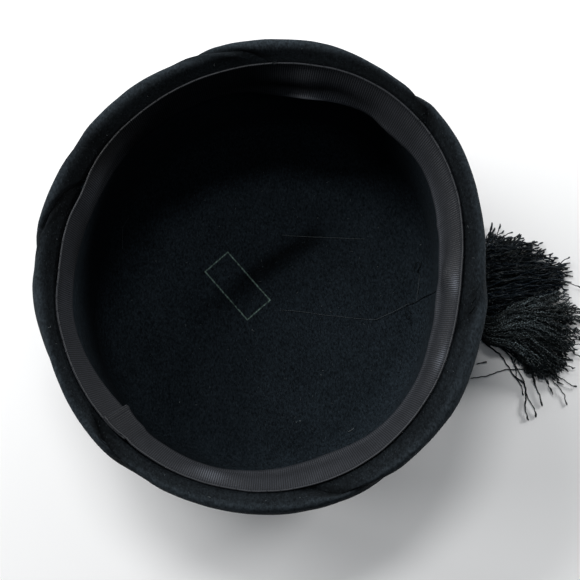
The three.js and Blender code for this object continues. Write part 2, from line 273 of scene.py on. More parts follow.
def around(rows, angle, column):
    """A column's value at an angle, on a smooth curve through a table that goes once round."""
    angle %= 360
    count = len(rows)
    after = next((index for index, row in enumerate(rows) if row["angle"] > angle), count)

    def pair(index):
        turns, index = divmod(index, count)
        return rows[index]["angle"] + 360 * turns, rows[index][column]

    first, second = pair(after - 1), pair(after)
    share = (angle - first[0]) / (second[0] - first[0])
    return curve_through(pair(after - 2), first, second, pair(after + 1), share)


def opening_radius(angle):
    shape = bpy.context.scene.hat_shape
    waves = sum(w["height"] * math.cos(w["lobes"] * math.radians(angle - w["peak"])) for w in OPENING_WAVES)
    return shape.opening_radius / MM + waves


def place(angle, radius, z):
    """A point in metres from an angle in degrees and a radius and height in millimetres."""
    turn = math.radians(angle)
    return Vector((radius * math.cos(turn), radius * math.sin(turn), z)) * MM


def ripple(point, size, seed):
    """Smooth noise between -1 and 1 at a point in metres, with bumps of a size in millimetres."""
    return noise.noise(point / (size * MM) + Vector((seed * 7.3, seed * 3.1, seed * 5.7)))


def ripples(point, waves):
    """The sum of ripples, each with a height, a size and a seed."""
    return sum(height * ripple(point, size, seed) for height, size, seed in waves)


def make_piece(name, vertices, faces, material, replaced=()):
    """A piece of the hat from its vertices in metres, with the material of that name."""
    mesh = bpy.data.meshes.new(name)
    mesh.from_pydata([tuple(vertex) for vertex in vertices], [], faces)
    if mesh.validate():
        raise RuntimeError(f"{name} has faces that don't hold together")
    mesh.shade_smooth()
    mesh.materials.append(bpy.data.materials[material])
    piece = bpy.data.objects.new(name, mesh)
    bpy.context.collection.objects.link(piece)
    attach(piece, BODY)
    if replaced:
        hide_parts(*replaced)
    return piece


def ring_faces(columns, rows, closed_round, closed_down):
    """Quads over a grid whose vertices run down the rows of one column after the other, going
    counterclockwise with each column's rows in the order that makes the faces point out."""
    faces = []
    for column in range(columns if closed_round else columns - 1):
        here, following = column * rows, (column + 1) % columns * rows
        for row in range(rows if closed_down else rows - 1):
            below = (row + 1) % rows
            faces.append((here + row, here + below, following + below, following + row))
    return faces


def set_shares(piece, name, values):
    """Gives the piece an attribute with one value per vertex."""
    piece.data.attributes.new(name, "FLOAT", "POINT").data.foreach_set("value", values)


def set_map(piece, uvs):
    """Gives the piece the map "along" from one pair per vertex."""
    layer = piece.data.uv_layers.new(name="along")
    corners = np.zeros(len(piece.data.loops), dtype=np.int32)
    piece.data.loops.foreach_get("vertex_index", corners)
    layer.uv.foreach_set("vector", np.asarray(uvs, dtype=np.float32)[corners].ravel())


# Materials


def new_group(name, inputs, outputs):
    """An empty node group with float, colour and vector sockets. Inputs are (name, kind, default)."""
    group = bpy.data.node_groups.new(name, "ShaderNodeTree")
    kinds = dict(value="NodeSocketFloat", colour="NodeSocketColor", vector="NodeSocketVector")
    for label, kind, default in inputs:
        socket = group.interface.new_socket(label, in_out="INPUT", socket_type=kinds[kind])
        if default is not None:
            socket.default_value = default
    for label, kind in outputs:
        group.interface.new_socket(label, in_out="OUTPUT", socket_type=kinds[kind])
    return group, group.nodes.new("NodeGroupInput"), group.nodes.new("NodeGroupOutput")


def add(tree, kind, values=None, **settings):
    """A node with its settings and the values of its unlinked inputs."""
    node = tree.nodes.new(kind)
    for key, value in settings.items():
        setattr(node, key, value)
    for key, value in (values or {}).items():
        node.inputs[key].default_value = value
    return node


def math_node(tree, operation, first, second=None, third=None):
    """The output of a Math node whose inputs are numbers or sockets."""
    node = add(tree, "ShaderNodeMath", operation=operation)
    for socket, value in zip(node.inputs, (first, second, third)):
        if value is None:
            continue
        if isinstance(value, (int, float)):
            socket.default_value = value
        else:
            tree.links.new(value, socket)
    return node.outputs[0]


def times(tree, first, second):
    return math_node(tree, "MULTIPLY", first, second)


def plus(tree, first, second):
    return math_node(tree, "ADD", first, second)


def minus(tree, first, second):
    return math_node(tree, "SUBTRACT", first, second)


def noise_node(tree, vector, scale, detail=2.0, roughness=0.5):
    node = add(tree, "ShaderNodeTexNoise", {"Scale": scale, "Detail": detail, "Roughness": roughness})
    tree.links.new(vector, node.inputs["Vector"])
    return node.outputs["Fac"]


def mixed_colour(tree, share, first, second, blend="MIX"):
    node = add(tree, "ShaderNodeMix", data_type="RGBA", blend_type=blend)
    for socket, value in ((node.inputs[0], share), (node.inputs[6], first), (node.inputs[7], second)):
        if isinstance(value, (int, float)):
            socket.default_value = value
        elif isinstance(value, (tuple, list)):
            socket.default_value = (*value[:3], 1)
        else:
            tree.links.new(value, socket)
    return node.outputs[2]


def tinted(tree, colour, shade):
    """A colour multiplied by a shade."""
    return mixed_colour(tree, 1.0, colour, shade, "MULTIPLY")


def remap(tree, value, low, high, to_low=0.0, to_high=1.0):
    node = add(tree, "ShaderNodeMapRange")
    tree.links.new(value, node.inputs[0])
    for socket, number in zip(node.inputs[1:5], (low, high, to_low, to_high)):
        socket.default_value = number
    return node.outputs[0]


def object_place(tree):
    return add(tree, "ShaderNodeTexCoord").outputs["Object"]


def own_map(tree):
    return add(tree, "ShaderNodeUVMap", uv_map="along").outputs[0]


def map_parts(tree):
    """The two coordinates of the piece's own map."""
    parts = add(tree, "ShaderNodeSeparateXYZ")
    tree.links.new(own_map(tree), parts.inputs[0])
    return parts.outputs[0], parts.outputs[1]


def attribute(tree, name):
    """The value of the piece's own attribute of that name."""
    return add(tree, "ShaderNodeAttribute", attribute_name=name).outputs["Fac"]


CAUGHT_LIGHT = (0.044, 0.053, 0.060)  # the colour of the felt's fibres that catch the light


def felt_nap():
    """The brushed nap of fur felt: its mottled colour, fibres that catch the light, and its height. Mottle
    and Grain say how far its clumps and its fine grain differ."""
    group, given, made = new_group(
        "felt_nap",
        [
            ("Vector", "vector", None), ("Colour", "colour", (0.01, 0.012, 0.014, 1)),
            ("Fibres", "value", 0.5), ("Mottle", "value", 0.14), ("Grain", "value", 1.0),
        ],
        [("Colour", "colour"), ("Height", "value")],
    )
    vector = given.outputs["Vector"]
    brushed = add(group, "ShaderNodeMapping", {"Scale": (1.0, 0.55, 1.0), "Rotation": (0, 0, 0.6)})
    group.links.new(vector, brushed.inputs["Vector"])
    brushed = brushed.outputs[0]
    clumps = noise_node(group, vector, scale=600, detail=3, roughness=0.6)
    grain = noise_node(group, brushed, scale=1250, roughness=0.7)
    patches = noise_node(group, vector, scale=45)
    fibres = noise_node(group, brushed, scale=2300, detail=1, roughness=0.4)
    clumped = remap(group, clumps, *NOISE_SPAN, -1, 1)
    mottle = math_node(group, "MULTIPLY_ADD", clumped, given.outputs["Mottle"], 1.0)
    shade = times(group, mottle, remap(group, patches, *NOISE_SPAN, 0.86, 1.14))
    grained = remap(group, grain, 0.3, 0.72, -0.5, 0.6)
    grains = math_node(group, "MULTIPLY_ADD", grained, given.outputs["Grain"], 1.0)
    shaded = tinted(group, given.outputs["Colour"], times(group, shade, grains))
    caught = times(group, remap(group, fibres, 0.66, 0.8), times(group, given.outputs["Fibres"], 0.5))
    group.links.new(mixed_colour(group, caught, shaded, CAUGHT_LIGHT), made.inputs["Colour"])
    height = plus(group, times(group, grain, 0.6), times(group, clumps, 0.7))
    group.links.new(height, made.inputs["Height"])


def thread_twist():
    """The twist of a thread from its own map, u round it and v along it in metres."""
    group, given, made = new_group(
        "thread_twist",
        [
            ("Colour", "colour", (0.01, 0.01, 0.012, 1)), ("Pitch", "value", 0.0012),
            ("Plies", "value", 2.0), ("Contrast", "value", 0.6),
        ],
        [("Colour", "colour"), ("Height", "value")],
    )
    round_it, along_it = map_parts(group)
    turns = math_node(group, "DIVIDE", along_it, given.outputs["Pitch"])
    phase = plus(group, times(group, round_it, given.outputs["Plies"]), turns)
    height = remap(group, math_node(group, "SINE", times(group, phase, math.tau)), -1, 1)
    # Painted highlights on the twist's crests and painted shade between them, as strong as Contrast says.
    painted_crest_light = minus(group, times(group, math_node(group, "POWER", height, 2), 2.4), 1)
    shade = math_node(group, "MULTIPLY_ADD", painted_crest_light, given.outputs["Contrast"], 1.0)
    shade = math_node(group, "MAXIMUM", shade, 0.03)
    # Each thread's colour factor: its dye and, deeper in the tassel's locks, painted shade.
    shade = times(group, shade, attribute(group, "painted_shade_and_dye"))
    group.links.new(tinted(group, given.outputs["Colour"], shade), made.inputs["Colour"])
    group.links.new(height, made.inputs["Height"])


def new_material(name, roughness, specular, sheen=0.0, sheen_tint=(1, 1, 1)):
    """A new material's tree and shader. What is the same all over the surface is set on the shader."""
    if name in bpy.data.materials:
        raise RuntimeError(f"there is already a material named {name}")
    material = bpy.data.materials.new(name)
    material.use_nodes = True
    shader = material.node_tree.nodes["Principled BSDF"]
    shader.inputs["Roughness"].default_value = roughness
    shader.inputs["Specular IOR Level"].default_value = specular
    shader.inputs["Sheen Weight"].default_value = sheen
    shader.inputs["Sheen Tint"].default_value = (*sheen_tint, 1)
    return material.node_tree, shader


def set_bump(tree, shader, height, distance, strength=1.0):
    bump = add(tree, "ShaderNodeBump", {"Strength": strength, "Distance": distance})
    tree.links.new(height, bump.inputs["Height"])
    tree.links.new(bump.outputs[0], shader.inputs["Normal"])


def mottled_material(name, colour, roughness, specular, scale, tones, depth=None):
    """A plain material whose colour varies between two tones in soft patches, and its height with them."""
    tree, shader = new_material(name, roughness, specular)
    patches = noise_node(tree, object_place(tree), scale, detail=1)
    patches = remap(tree, patches, *NOISE_SPAN, *tones)
    tree.links.new(tinted(tree, tuple(colour), patches), shader.inputs["Base Color"])
    if depth is not None:
        set_bump(tree, shader, patches, depth)


def felt_material(name, colour, fibres, mottle, grain, painted_shade_base, stamp_colour=None):
    """Felt with its nap, darkened by painted shade: a base shade raised to the power of the piece's shade
    attribute.
    """
    tree, shader = new_material(
        name, roughness=1.0, specular=0.06, sheen=0.01, sheen_tint=(0.72, 0.86, 1.0)
    )
    vector = object_place(tree)
    values = dict(Fibres=fibres, Mottle=mottle, Grain=grain)
    nap = add(tree, "ShaderNodeGroup", values, node_tree=bpy.data.node_groups["felt_nap"])
    tree.links.new(vector, nap.inputs["Vector"])
    # Painted shade: in the crease, the valleys and the groove beside the sweatband.
    shade = math_node(tree, "POWER", painted_shade_base, attribute(tree, "pressed"))
    dyed = tinted(tree, tuple(colour), shade)
    if stamp_colour is not None:
        dyed = mixed_colour(tree, stamp_mask(tree, vector), dyed, tuple(stamp_colour))
    tree.links.new(dyed, nap.inputs["Colour"])
    tree.links.new(nap.outputs["Colour"], shader.inputs["Base Color"])
    set_bump(tree, shader, nap.outputs["Height"], distance=0.0004, strength=0.8)


def stamp_mask(tree, vector):
    """The lines of the empty oblong stamped on the tip's inner face, worn thin in places."""
    turned = add(tree, "ShaderNodeMapping", vector_type="TEXTURE")
    turned.inputs["Location"].default_value = (STAMP["centre"][0] * MM, STAMP["centre"][1] * MM, 0)
    turned.inputs["Rotation"].default_value = (0, 0, math.radians(STAMP["turn"]))
    tree.links.new(vector, turned.inputs["Vector"])
    parts = add(tree, "ShaderNodeSeparateXYZ")
    tree.links.new(turned.outputs[0], parts.inputs[0])
    sides = []
    for socket, size in ((parts.outputs[0], STAMP["length"]), (parts.outputs[1], STAMP["width"])):
        sides.append(minus(tree, math_node(tree, "ABSOLUTE", socket), size / 2 * MM))
    from_line = math_node(tree, "ABSOLUTE", math_node(tree, "MAXIMUM", *sides))
    core, fade = (STAMP["line"] * STAMP[share] * MM for share in ("core", "fade"))
    line = remap(tree, from_line, core, fade, 1, 0)
    worn = remap(tree, noise_node(tree, vector, scale=900), 0.3, 0.55, 0.25, 1)
    printed = times(tree, line, attribute(tree, "inner_face"))
    return times(tree, printed, times(tree, worn, STAMP["ink"]))


def ribbon_material(colour):
    """Grosgrain: ribs across the ribbon over a fine warp, with a smooth woven edge on either side."""
    shape = bpy.context.scene.hat_shape
    warp_pitch, edge_width, edge_height = 0.00032, (0.0004, 0.0010), 0.55
    tree, shader = new_material("ribbed_grosgrain", roughness=0.42, specular=0.3)
    along, across = map_parts(tree)
    rib = math_node(tree, "SINE", times(tree, along, math.tau / shape.rib_pitch))
    warp = math_node(tree, "SINE", times(tree, across, math.tau / warp_pitch))
    from_middle = math_node(tree, "ABSOLUTE", minus(tree, across, shape.ribbon_width / 2))
    ribbed = remap(tree, minus(tree, shape.ribbon_width / 2, from_middle), *edge_width)
    height = minus(tree, remap(tree, rib, -1, 1), edge_height)
    height = plus(tree, times(tree, height, ribbed), edge_height)
    # Painted light and shade of the relief: the ribs' crests are painted lighter and their troughs darker,
    # the warp's fine lines likewise, and the woven edges get a middle tone.
    shade = remap(tree, plus(tree, height, times(tree, warp, 0.12)), -0.1, 1.05, 0.15, 1.75)
    mottle = noise_node(tree, own_map(tree), scale=130, detail=3)
    mottle = remap(tree, mottle, *NOISE_SPAN, 0.85, 1.15)
    # Highlights and shade painted into the colour from the sweatband's sheen attribute, strongest on the
    # ribs.
    painted_rib_light = times(tree, attribute(tree, "sheen"), remap(tree, height, 0.1, 0.8, 0.5, 1))
    shade = times(tree, times(tree, shade, mottle), plus(tree, painted_rib_light, 1.0))
    tree.links.new(tinted(tree, tuple(colour), shade), shader.inputs["Base Color"])
    tree.links.new(remap(tree, height, 0, 1, 0.75, 0.36), shader.inputs["Roughness"])
    set_bump(tree, shader, warp, distance=0.00002)


# Threads with a dark root, painted shade near the hat: over which stretches, in metres from their start,
# their colour and gloss come up and their colour sinks again, and what they are at the root and at the tip.
DARK_ROOT = dict(
    root=(0.021, 0.037), tip=(0.048, 0.060), root_shade=0.1, tip_shade=0.45, root_roughness=0.95, contrast=1.7
)


def thread_material(name, colour, pitch, roughness, specular, depth, dark_root=False):
    """Twisted thread, its twist with a depth and a pitch in metres."""
    tree, shader = new_material(name, roughness, specular)
    shader.inputs["Specular Tint"].default_value = (0.82, 0.98, 1.0, 1)
    twist = add(tree, "ShaderNodeGroup", node_tree=bpy.data.node_groups["thread_twist"])
    twist.inputs["Colour"].default_value = (*colour, 1)
    twist.inputs["Pitch"].default_value = pitch
    if dark_root:
        # Painted shade near the hat: darker and duller at the root, and darker again towards the tip.
        along_it = map_parts(tree)[1]
        from_root = remap(tree, along_it, *DARK_ROOT["root"])
        shade = remap(tree, from_root, 0, 1, DARK_ROOT["root_shade"], 1.0)
        shade = times(tree, shade, remap(tree, along_it, *DARK_ROOT["tip"], 1.0, DARK_ROOT["tip_shade"]))
        gloss = remap(tree, from_root, 0, 1, DARK_ROOT["root_roughness"], roughness)
        tree.links.new(tinted(tree, tuple(colour), shade), twist.inputs["Colour"])
        tree.links.new(gloss, shader.inputs["Roughness"])
        twist.inputs["Contrast"].default_value = DARK_ROOT["contrast"]
    tree.links.new(twist.outputs["Colour"], shader.inputs["Base Color"])
    set_bump(tree, shader, twist.outputs["Height"], depth)


def make_materials():
    finish = bpy.context.scene.hat_finish
    felt_nap()
    thread_twist()
    felt_material(
        "blocked_felt", finish.felt_colour, fibres=1.3, mottle=0.24, grain=1.3, painted_shade_base=0.22,
        stamp_colour=finish.stamp_colour,
    )
    felt_material(
        "brushed_felt", finish.drape_lit_colour, fibres=1.0, mottle=0.30, grain=1.0, painted_shade_base=0.38
    )
    ribbon_material(finish.ribbon_colour)
    thread_material(
        "smooth_rayon", finish.rayon_colour, pitch=0.0013, roughness=0.3, specular=0.12, depth=0.00015
    )
    thread_material(
        "crimped_rayon", finish.crimped_lit_colour, pitch=0.0016, roughness=0.3, specular=0.3, depth=0.0003,
        dark_root=True,
    )
    thread_material(
        "sewing_thread", finish.sewing_colour, pitch=0.0009, roughness=0.6, specular=0.12, depth=0.00005
    )
    thread_material(
        "tacking_thread", finish.tacking_colour, pitch=0.0009, roughness=0.6, specular=0.3, depth=0.00004
    )
    mottled_material(
        "wound_thread", finish.rayon_colour, roughness=0.4, specular=0.3, scale=1800, tones=(0.5, 1.5),
        depth=0.00008,
    )
    mottled_material(
        "pale_lint", finish.lint_colour, roughness=0.8, specular=0.3, scale=300, tones=(0.4, 1.2)
    )


# The felt


def crown_profile():
    """Steps of radius and height for an opening of the mean radius: the inner face from the middle out and
    up to the rim, and the outer face back down to the edge of the underside."""
    shape = bpy.context.scene.hat_shape
    felt = shape.felt / MM
    corner, rings = CROWN["corner"], CROWN["tip_rings"]
    rim_height = TOP - CROWN["rim_drop"]
    rim_radius = shape.opening_radius / MM + CROWN["rim_out"]
    foot_radius = rim_radius - CROWN["taper"]
    tip_radius = foot_radius - corner
    foot_height = felt + corner

    def turn(radius, steps):
        angles = [math.pi / 2 * step / steps for step in range(steps + 1)]
        return [(tip_radius + radius * math.sin(a), foot_height - radius * math.cos(a)) for a in angles]

    def wall(outward, steps):
        shares = [(step + 1) / steps for step in range(steps)]
        return [
            (mix(foot_radius, rim_radius, share) + outward, mix(foot_height, rim_height, share))
            for share in shares
        ]

    inner = [(tip_radius * (ring + 1) / rings, felt) for ring in range(rings - 1)]
    inner += turn(corner, CROWN["inner_corner"]) + wall(0, CROWN["inner_wall"])
    outer = turn(corner + felt, CROWN["outer_corner"]) + wall(felt, CROWN["outer_wall"])
    return inner, outer[::-1]


def crease_depth(point):
    """How deep the crease of the tip's inner face is at a point in millimetres, as a share."""
    deepest = 0.0
    for first, second in zip(CREASE_STOPS, CREASE_STOPS[1:]):
        start, line = Vector(first[:2]), Vector(second[:2]) - Vector(first[:2])
        share = min(max((point - start).dot(line) / line.length_squared, 0), 1)
        away = point - start - line * share
        side = "left" if line.x * away.y > line.y * away.x else "right"
        reach = CREASE["reach"] * CREASE[side]
        deepest = max(deepest, mix(first[2], second[2], share) * math.exp(-((away.length / reach) ** 2)))
    return deepest


def build_crown():
    shape = bpy.context.scene.hat_shape
    inner, outer = crown_profile()
    columns, rows = CROWN["columns"], len(inner) + len(outer)
    tip_height = shape.felt / MM
    corner_top = tip_height + CROWN["corner"]
    vertices, inner_flags = [], []
    for column in range(columns):
        angle = 360 * column / columns
        scale = opening_radius(angle) / (shape.opening_radius / MM)
        lower = RIM_FOLLOWS * around(SECTIONS, angle, "dip") / (TOP - CROWN["rim_drop"] - corner_top)
        for index, (radius, height) in enumerate(inner + outer):
            on_inner = index < len(inner)
            height -= max(0, height - corner_top) * lower
            point = place(angle, radius * scale, height)
            if on_inner:
                outward = Vector((point.x, point.y, 0)).normalized()
                wave = ripples(point, CROWN_RIPPLES)
                tip = smooth((corner_top - height) / CROWN["corner"])
                point.z -= CREASE["depth"] * crease_depth(Vector(point[:2]) / MM) * MM
                point += (Vector((0, 0, tip)) - outward * (1 - tip)) * (wave * MM)
            vertices.append(point)
            inner_flags.append(1.0 if on_inner else 0.0)
    middle = Vector((0, 0, tip_height * MM))
    middle.z += ripples(middle, CROWN_RIPPLES) * MM
    middle.z -= CREASE["depth"] * crease_depth(Vector((0, 0))) * MM
    vertices += [middle, Vector((0, 0, 0))]
    inner_flags += [1.0, 0.0]
    faces = ring_faces(columns, rows, True, False)
    for column in range(columns):
        following = (column + 1) % columns
        faces.append((len(vertices) - 2, column * rows, following * rows))
        faces.append((len(vertices) - 1, following * rows + rows - 1, column * rows + rows - 1))
    piece = make_piece("crown_felt", vertices, faces, "blocked_felt", ["crown"])
    set_shares(piece, "inner_face", inner_flags)
    # The crease is also painted darker: painted shade, as deep as the crease.
    set_shares(piece, "pressed", [crease_depth(Vector(v.co[:2]) / MM) for v in piece.data.vertices])


def drape_rows():
    """The rows of the drape's mesh, on smooth curves through DRAPE_ROWS."""
    rows = []
    for index, row in enumerate(DRAPE_ROWS[:-1]):
        near = neighbours(DRAPE_ROWS, index)
        for step in range(row["steps"]):
            share = step / row["steps"]
            rows.append({column: even_curve([stop[column] for stop in near], share) for column in row})
    return rows + DRAPE_ROWS[-1:]


def edge_angle(fold, sway):
    """The angle of a fold's lapping edge, on its way from foot over brow to hem."""
    if sway <= 1:
        return mix(fold["foot"], fold["brow"], sway)
    return mix(fold["brow"], fold["hem"], sway - 1)


def drape_columns():
    """The columns of the drape's mesh, counterclockwise: the fold, the share of its width, how deep in the
    valley the column lies and the step of the lip that it makes."""
    columns = []
    flat = dict(past=0.0, up=0.0)
    for index, fold in enumerate(FOLDS):
        before = FOLDS[index - 1]
        width = math.radians((fold["brow"] - before["brow"]) % 360) * MEASURED_AT
        plain = width - LIP_STEPS[-1]["at"] - TUCK_STEPS[0]
        plain_steps = round(plain / FOLD_STEP)
        gap = plain / plain_steps
        places = [(step["at"], step) for step in LIP_STEPS]
        places += [(LIP_STEPS[-1]["at"] + gap * step, flat) for step in range(1, plain_steps)]
        places += [(width - distance, flat) for distance in TUCK_STEPS]
        for at, step in places:
            lap = before["notch"] * (1 - min(at / LAP_REACH, 1)) ** LAP_FALL
            tuck = fold["notch"] * (1 - smooth((width - at) / TUCK_REACH))
            columns.append(dict(
                fold=index, share=at / width, valley=lap + tuck, up=step["up"], lip=before["lip"],
                past=step["past"] - step["at"] if step is not flat else 0.0,
            ))
    return columns


def stands_out(fold, before, after, share):
    """How far a fold stands out at a share of its width from its lapping edge."""
    stops = [
        (0, (before["lead"] + fold["trail"]) / 2), (TRAIL_AT, fold["trail"]), (MIDDLE_AT, fold["middle"]),
        (LEAD_AT, fold["lead"]), (1, (fold["lead"] + after["trail"]) / 2),
    ]
    for (from_share, from_out), (to_share, to_out) in zip(stops, stops[1:]):
        if share <= to_share:
            break
    return mix(from_out, to_out, smooth((share - from_share) / (to_share - from_share)))


def drape_faces():
    """The drape's outer and inner face as arrays of columns by rows of points, in metres, and how much
    shade is painted into the nap's colour there."""
    rows, columns = drape_rows(), drape_columns()
    ground = np.zeros((len(columns), len(rows), 3))
    valley, pressed, past, up, rough = (np.zeros(ground.shape[:2]) for _ in range(5))
    for c, column in enumerate(columns):
        index = column["fold"]
        fold, before, after = FOLDS[index], FOLDS[index - 1], FOLDS[(index + 1) % len(FOLDS)]
        turn = 360 if index == 0 else 0
        out = stands_out(fold, before, after, column["share"])
        for r, row in enumerate(rows):
            start, end = edge_angle(before, row["sway"]) - turn, edge_angle(fold, row["sway"])
            angle = mix(start, end, column["share"])
            dip = row["dip"] * around(SECTIONS, angle, "dip")
            radius = opening_radius(angle) + row["out"] * out + row["shift"] + LOWER_IS_WIDER * dip
            drop = mix(row["drop"], row["round_drop"], around(SECTIONS, angle, "round"))
            ground[c, r] = place(angle, radius, TOP - drop - dip)
            valley[c, r] = column["valley"] * row["deep"]
            # Painted shade, deeper towards the foot and in the valleys.
            soil = around(SECTIONS, angle, "soil") * (1 - row["out"])
            pressed[c, r] = row["pressed"] + soil + VALLEY_PAINTED_SHADE * valley[c, r]
            strength = column["lip"] * row["lip"]
            past[c, r] = column["past"] * min(strength, 1)
            up[c, r] = column["up"] * strength
            rough[c, r] = ripples(Vector(ground[c, r]), DRAPE_RIPPLES)
    along = np.roll(ground, -1, axis=0) - np.roll(ground, 1, axis=0)
    down = np.gradient(ground, axis=1)
    normal = np.cross(down, along)
    normal /= np.linalg.norm(normal, axis=2, keepdims=True)
    aside = np.cross(normal, down)
    aside /= np.linalg.norm(aside, axis=2, keepdims=True)
    aside *= np.sign(np.sum(aside * along, axis=2, keepdims=True))
    rough *= np.clip(np.arange(len(rows)) / STILL_ROWS, STILL_SHARE, 1)
    felt = bpy.context.scene.hat_shape.felt / MM
    outer_height = up - valley + rough
    inner_height = INNER_RIPPLES * rough - INNER_VALLEYS * valley - felt
    outer = ground + normal * (outer_height[..., None] * MM) + aside * (past[..., None] * MM)
    inner = ground + normal * (inner_height[..., None] * MM)
    return outer, inner, pressed


def build_drape():
    outer, inner, pressed = drape_faces()
    columns, rows = outer.shape[:2]
    sections = np.concatenate([outer, inner[:, ::-1]], axis=1)
    faces = ring_faces(columns, rows * 2, True, True)
    piece = make_piece("drape", sections.reshape(-1, 3), faces, "brushed_felt", ["draped_felt"])
    set_shares(piece, "pressed", np.concatenate([pressed, pressed[:, ::-1]], axis=1).ravel())


# The sweatband


def painted_light_at(angle, share):
    """The highlight or, under zero, the shade painted on the sweatband at an angle and share of its width."""
    total = 0.0
    for spot in PAINTED_LIGHT_SPOTS:
        along = ((angle - spot["angle"] + 180) % 360 - 180) / spot["along"]
        across = (share - spot["share"]) / spot["across"]
        total += spot["strength"] * math.exp(-(along**2) - across**2)
    return max(total, DARKEST_PAINTED_SHADE)


def ribbon_section(angle, first_turn, rib):
    """Points of the ribbon's wall side from its sewn edge to its free edge: distance outside the oval,
    height, how far it leans there, its thickness and the distance down it. first_turn is the angle from the
    end that lies on top, and rib how high the rib is."""
    shape = bpy.context.scene.hat_shape
    width, thickness = shape.ribbon_width / MM, shape.ribbon_thickness / MM
    spot = place(angle, MEASURED_AT, 0)

    def before_end(name, fade):
        return 1 - smooth((first_turn - RIBBON[name]) / RIBBON[fade])

    inset = around(RIBBON_ROWS, angle, "inset") + RIBBON["layer"] * before_end("overlap", "step_out")
    inset += ripples(spot, RIBBON_RIPPLES["inset"])
    dipped = math.exp(-((first_turn / RIBBON["end_dip_reach"]) ** RIBBON["end_dip_fall"]))
    lean = around(RIBBON_ROWS, angle, "lean") + RIBBON["end_dip"] * dipped
    belly = around(RIBBON_ROWS, angle, "belly") + ripples(spot, RIBBON_RIPPLES["belly"])
    curl = around(RIBBON_ROWS, angle, "curl") + ripples(spot, RIBBON_RIPPLES["curl"])
    tilt = math.degrees(math.asin(lean / (width - RIBBON["upright"])))
    lift = RIBBON["end_lift"] * before_end("end_lift_reach", "end_lift_fade")
    doubled = 1 + RIBBON["turned_thicker"] * before_end("turned_under", "turned_fade")
    width -= RIBBON["end_round"] * max(0.0, 1 - first_turn / RIBBON["end_round_reach"]) ** 2
    dip = RIBBON_FOLLOWS * around(SECTIONS, angle, "dip")
    out, z, last = LOWER_IS_WIDER * dip - inset, TOP - RIBBON["top_drop"] - dip + lift, 0.0
    points = []
    for row in range(RIBBON["rows"] + 1):
        share = row / RIBBON["rows"]
        share = smooth(share) * RIBBON["crowding"] + share * (1 - RIBBON["crowding"])
        down = width * share
        heading = tilt * smooth((down - RIBBON["upright"] / 2) / RIBBON["upright"])
        heading += belly * math.sin(math.tau * share)
        heading -= curl * CURL["back"] * smooth((share - CURL["back_from"]) / CURL["back_over"])
        heading += curl * CURL["turn"] * smooth((share - CURL["turn_from"]) / CURL["turn_over"])
        turn = math.radians(heading)
        out -= (down - last) * math.sin(turn)
        z -= (down - last) * math.cos(turn)
        last = down
        from_edge = min(down, width - down)
        selvedge = math.exp(-((from_edge / RIBBON["selvedge_width"]) ** 2))
        thick = thickness * doubled + RIBBON["selvedge"] * selvedge
        thick += RIBBON["rib_height"] * rib * (1 - selvedge)
        points.append((out, z, turn, thick, down))
    return points


def build_ribbon():
    shape = bpy.context.scene.hat_shape
    pitch, once_round = shape.rib_pitch, math.tau * shape.opening_radius
    whole = 360 + RIBBON["overlap"]
    columns = round(whole / 360 * once_round / pitch * RIBBON["rib_columns"]) + 1
    vertices, uvs, painted_lights = [], [], []
    for column in range(columns):
        first_turn = whole * column / (columns - 1)
        angle = RIBBON["seam"] + first_turn
        radius = opening_radius(angle)
        length = column * pitch / RIBBON["rib_columns"]
        section = ribbon_section(angle, first_turn, (1 + math.sin(math.tau * length / pitch)) / 2)
        # The highlights and shade painted into this column's colour, row by row.
        sheen = [painted_light_at(angle, row / (len(section) - 1)) for row in range(len(section))]
        painted_lights += sheen + sheen[::-1]
        wall_side = [place(angle, radius + out, z) for out, z, _, _, _ in section]
        hollow_side = [
            place(angle, radius + out - thick * math.cos(turn), z + thick * math.sin(turn))
            for out, z, turn, thick, _ in section
        ]
        vertices += wall_side + hollow_side[::-1]
        downs = [down for _, _, _, _, down in section]
        uvs += [(length, down * MM) for down in downs + downs[::-1]]
    rows = len(vertices) // columns
    faces = ring_faces(columns, rows, False, True)
    faces.append(tuple(range(rows))[::-1])
    faces.append(tuple(range((columns - 1) * rows, columns * rows)))
    piece = make_piece("ribbon", vertices, faces, "ribbed_grosgrain", ["sweatband"])
    set_map(piece, uvs)
    # The painted highlights and shade, one value per vertex.
    set_shares(piece, "sheen", painted_lights)


# Threads


def thread_rings(points, radii, sides):
    """Rings of vertices round a line of points, closed by a point at each end, and their map."""
    points = np.asarray(points, dtype=float)
    tangents = np.gradient(points, axis=0)
    tangents /= np.linalg.norm(tangents, axis=1, keepdims=True)
    steps = np.linalg.norm(np.diff(points, axis=0), axis=1)
    lengths = np.concatenate([[0], np.cumsum(steps)])
    side = np.cross(tangents[0], (0, 0, 1.0))
    if np.linalg.norm(side) < 1e-6:
        side = np.array((1.0, 0, 0))
    turns = np.arange(sides) * math.tau / sides
    vertices, uvs = [points[0]], [(0.5, 0.0)]
    for point, tangent, radius, length in zip(points, tangents, radii, lengths):
        side = side - tangent * np.dot(side, tangent)
        side /= np.linalg.norm(side)
        other = np.cross(tangent, side)
        ring = point + radius * (np.outer(np.cos(turns), side) + np.outer(np.sin(turns), other))
        vertices.extend(ring)
        uvs.extend((turn / math.tau, length) for turn in turns)
    vertices.append(points[-1])
    uvs.append((0.5, lengths[-1]))
    return vertices, uvs


def thread_faces(rings, sides, offset):
    faces = []
    last = offset + 1 + rings * sides
    for index in range(sides):
        following = (index + 1) % sides
        faces.append((offset, offset + 1 + following, offset + 1 + index))
        faces.append((last, last - sides + index, last - sides + following))
    for ring in range(rings - 1):
        here = offset + 1 + ring * sides
        for index in range(sides):
            following = (index + 1) % sides
            faces.append((here + index, here + following, here + sides + following, here + sides + index))
    return faces


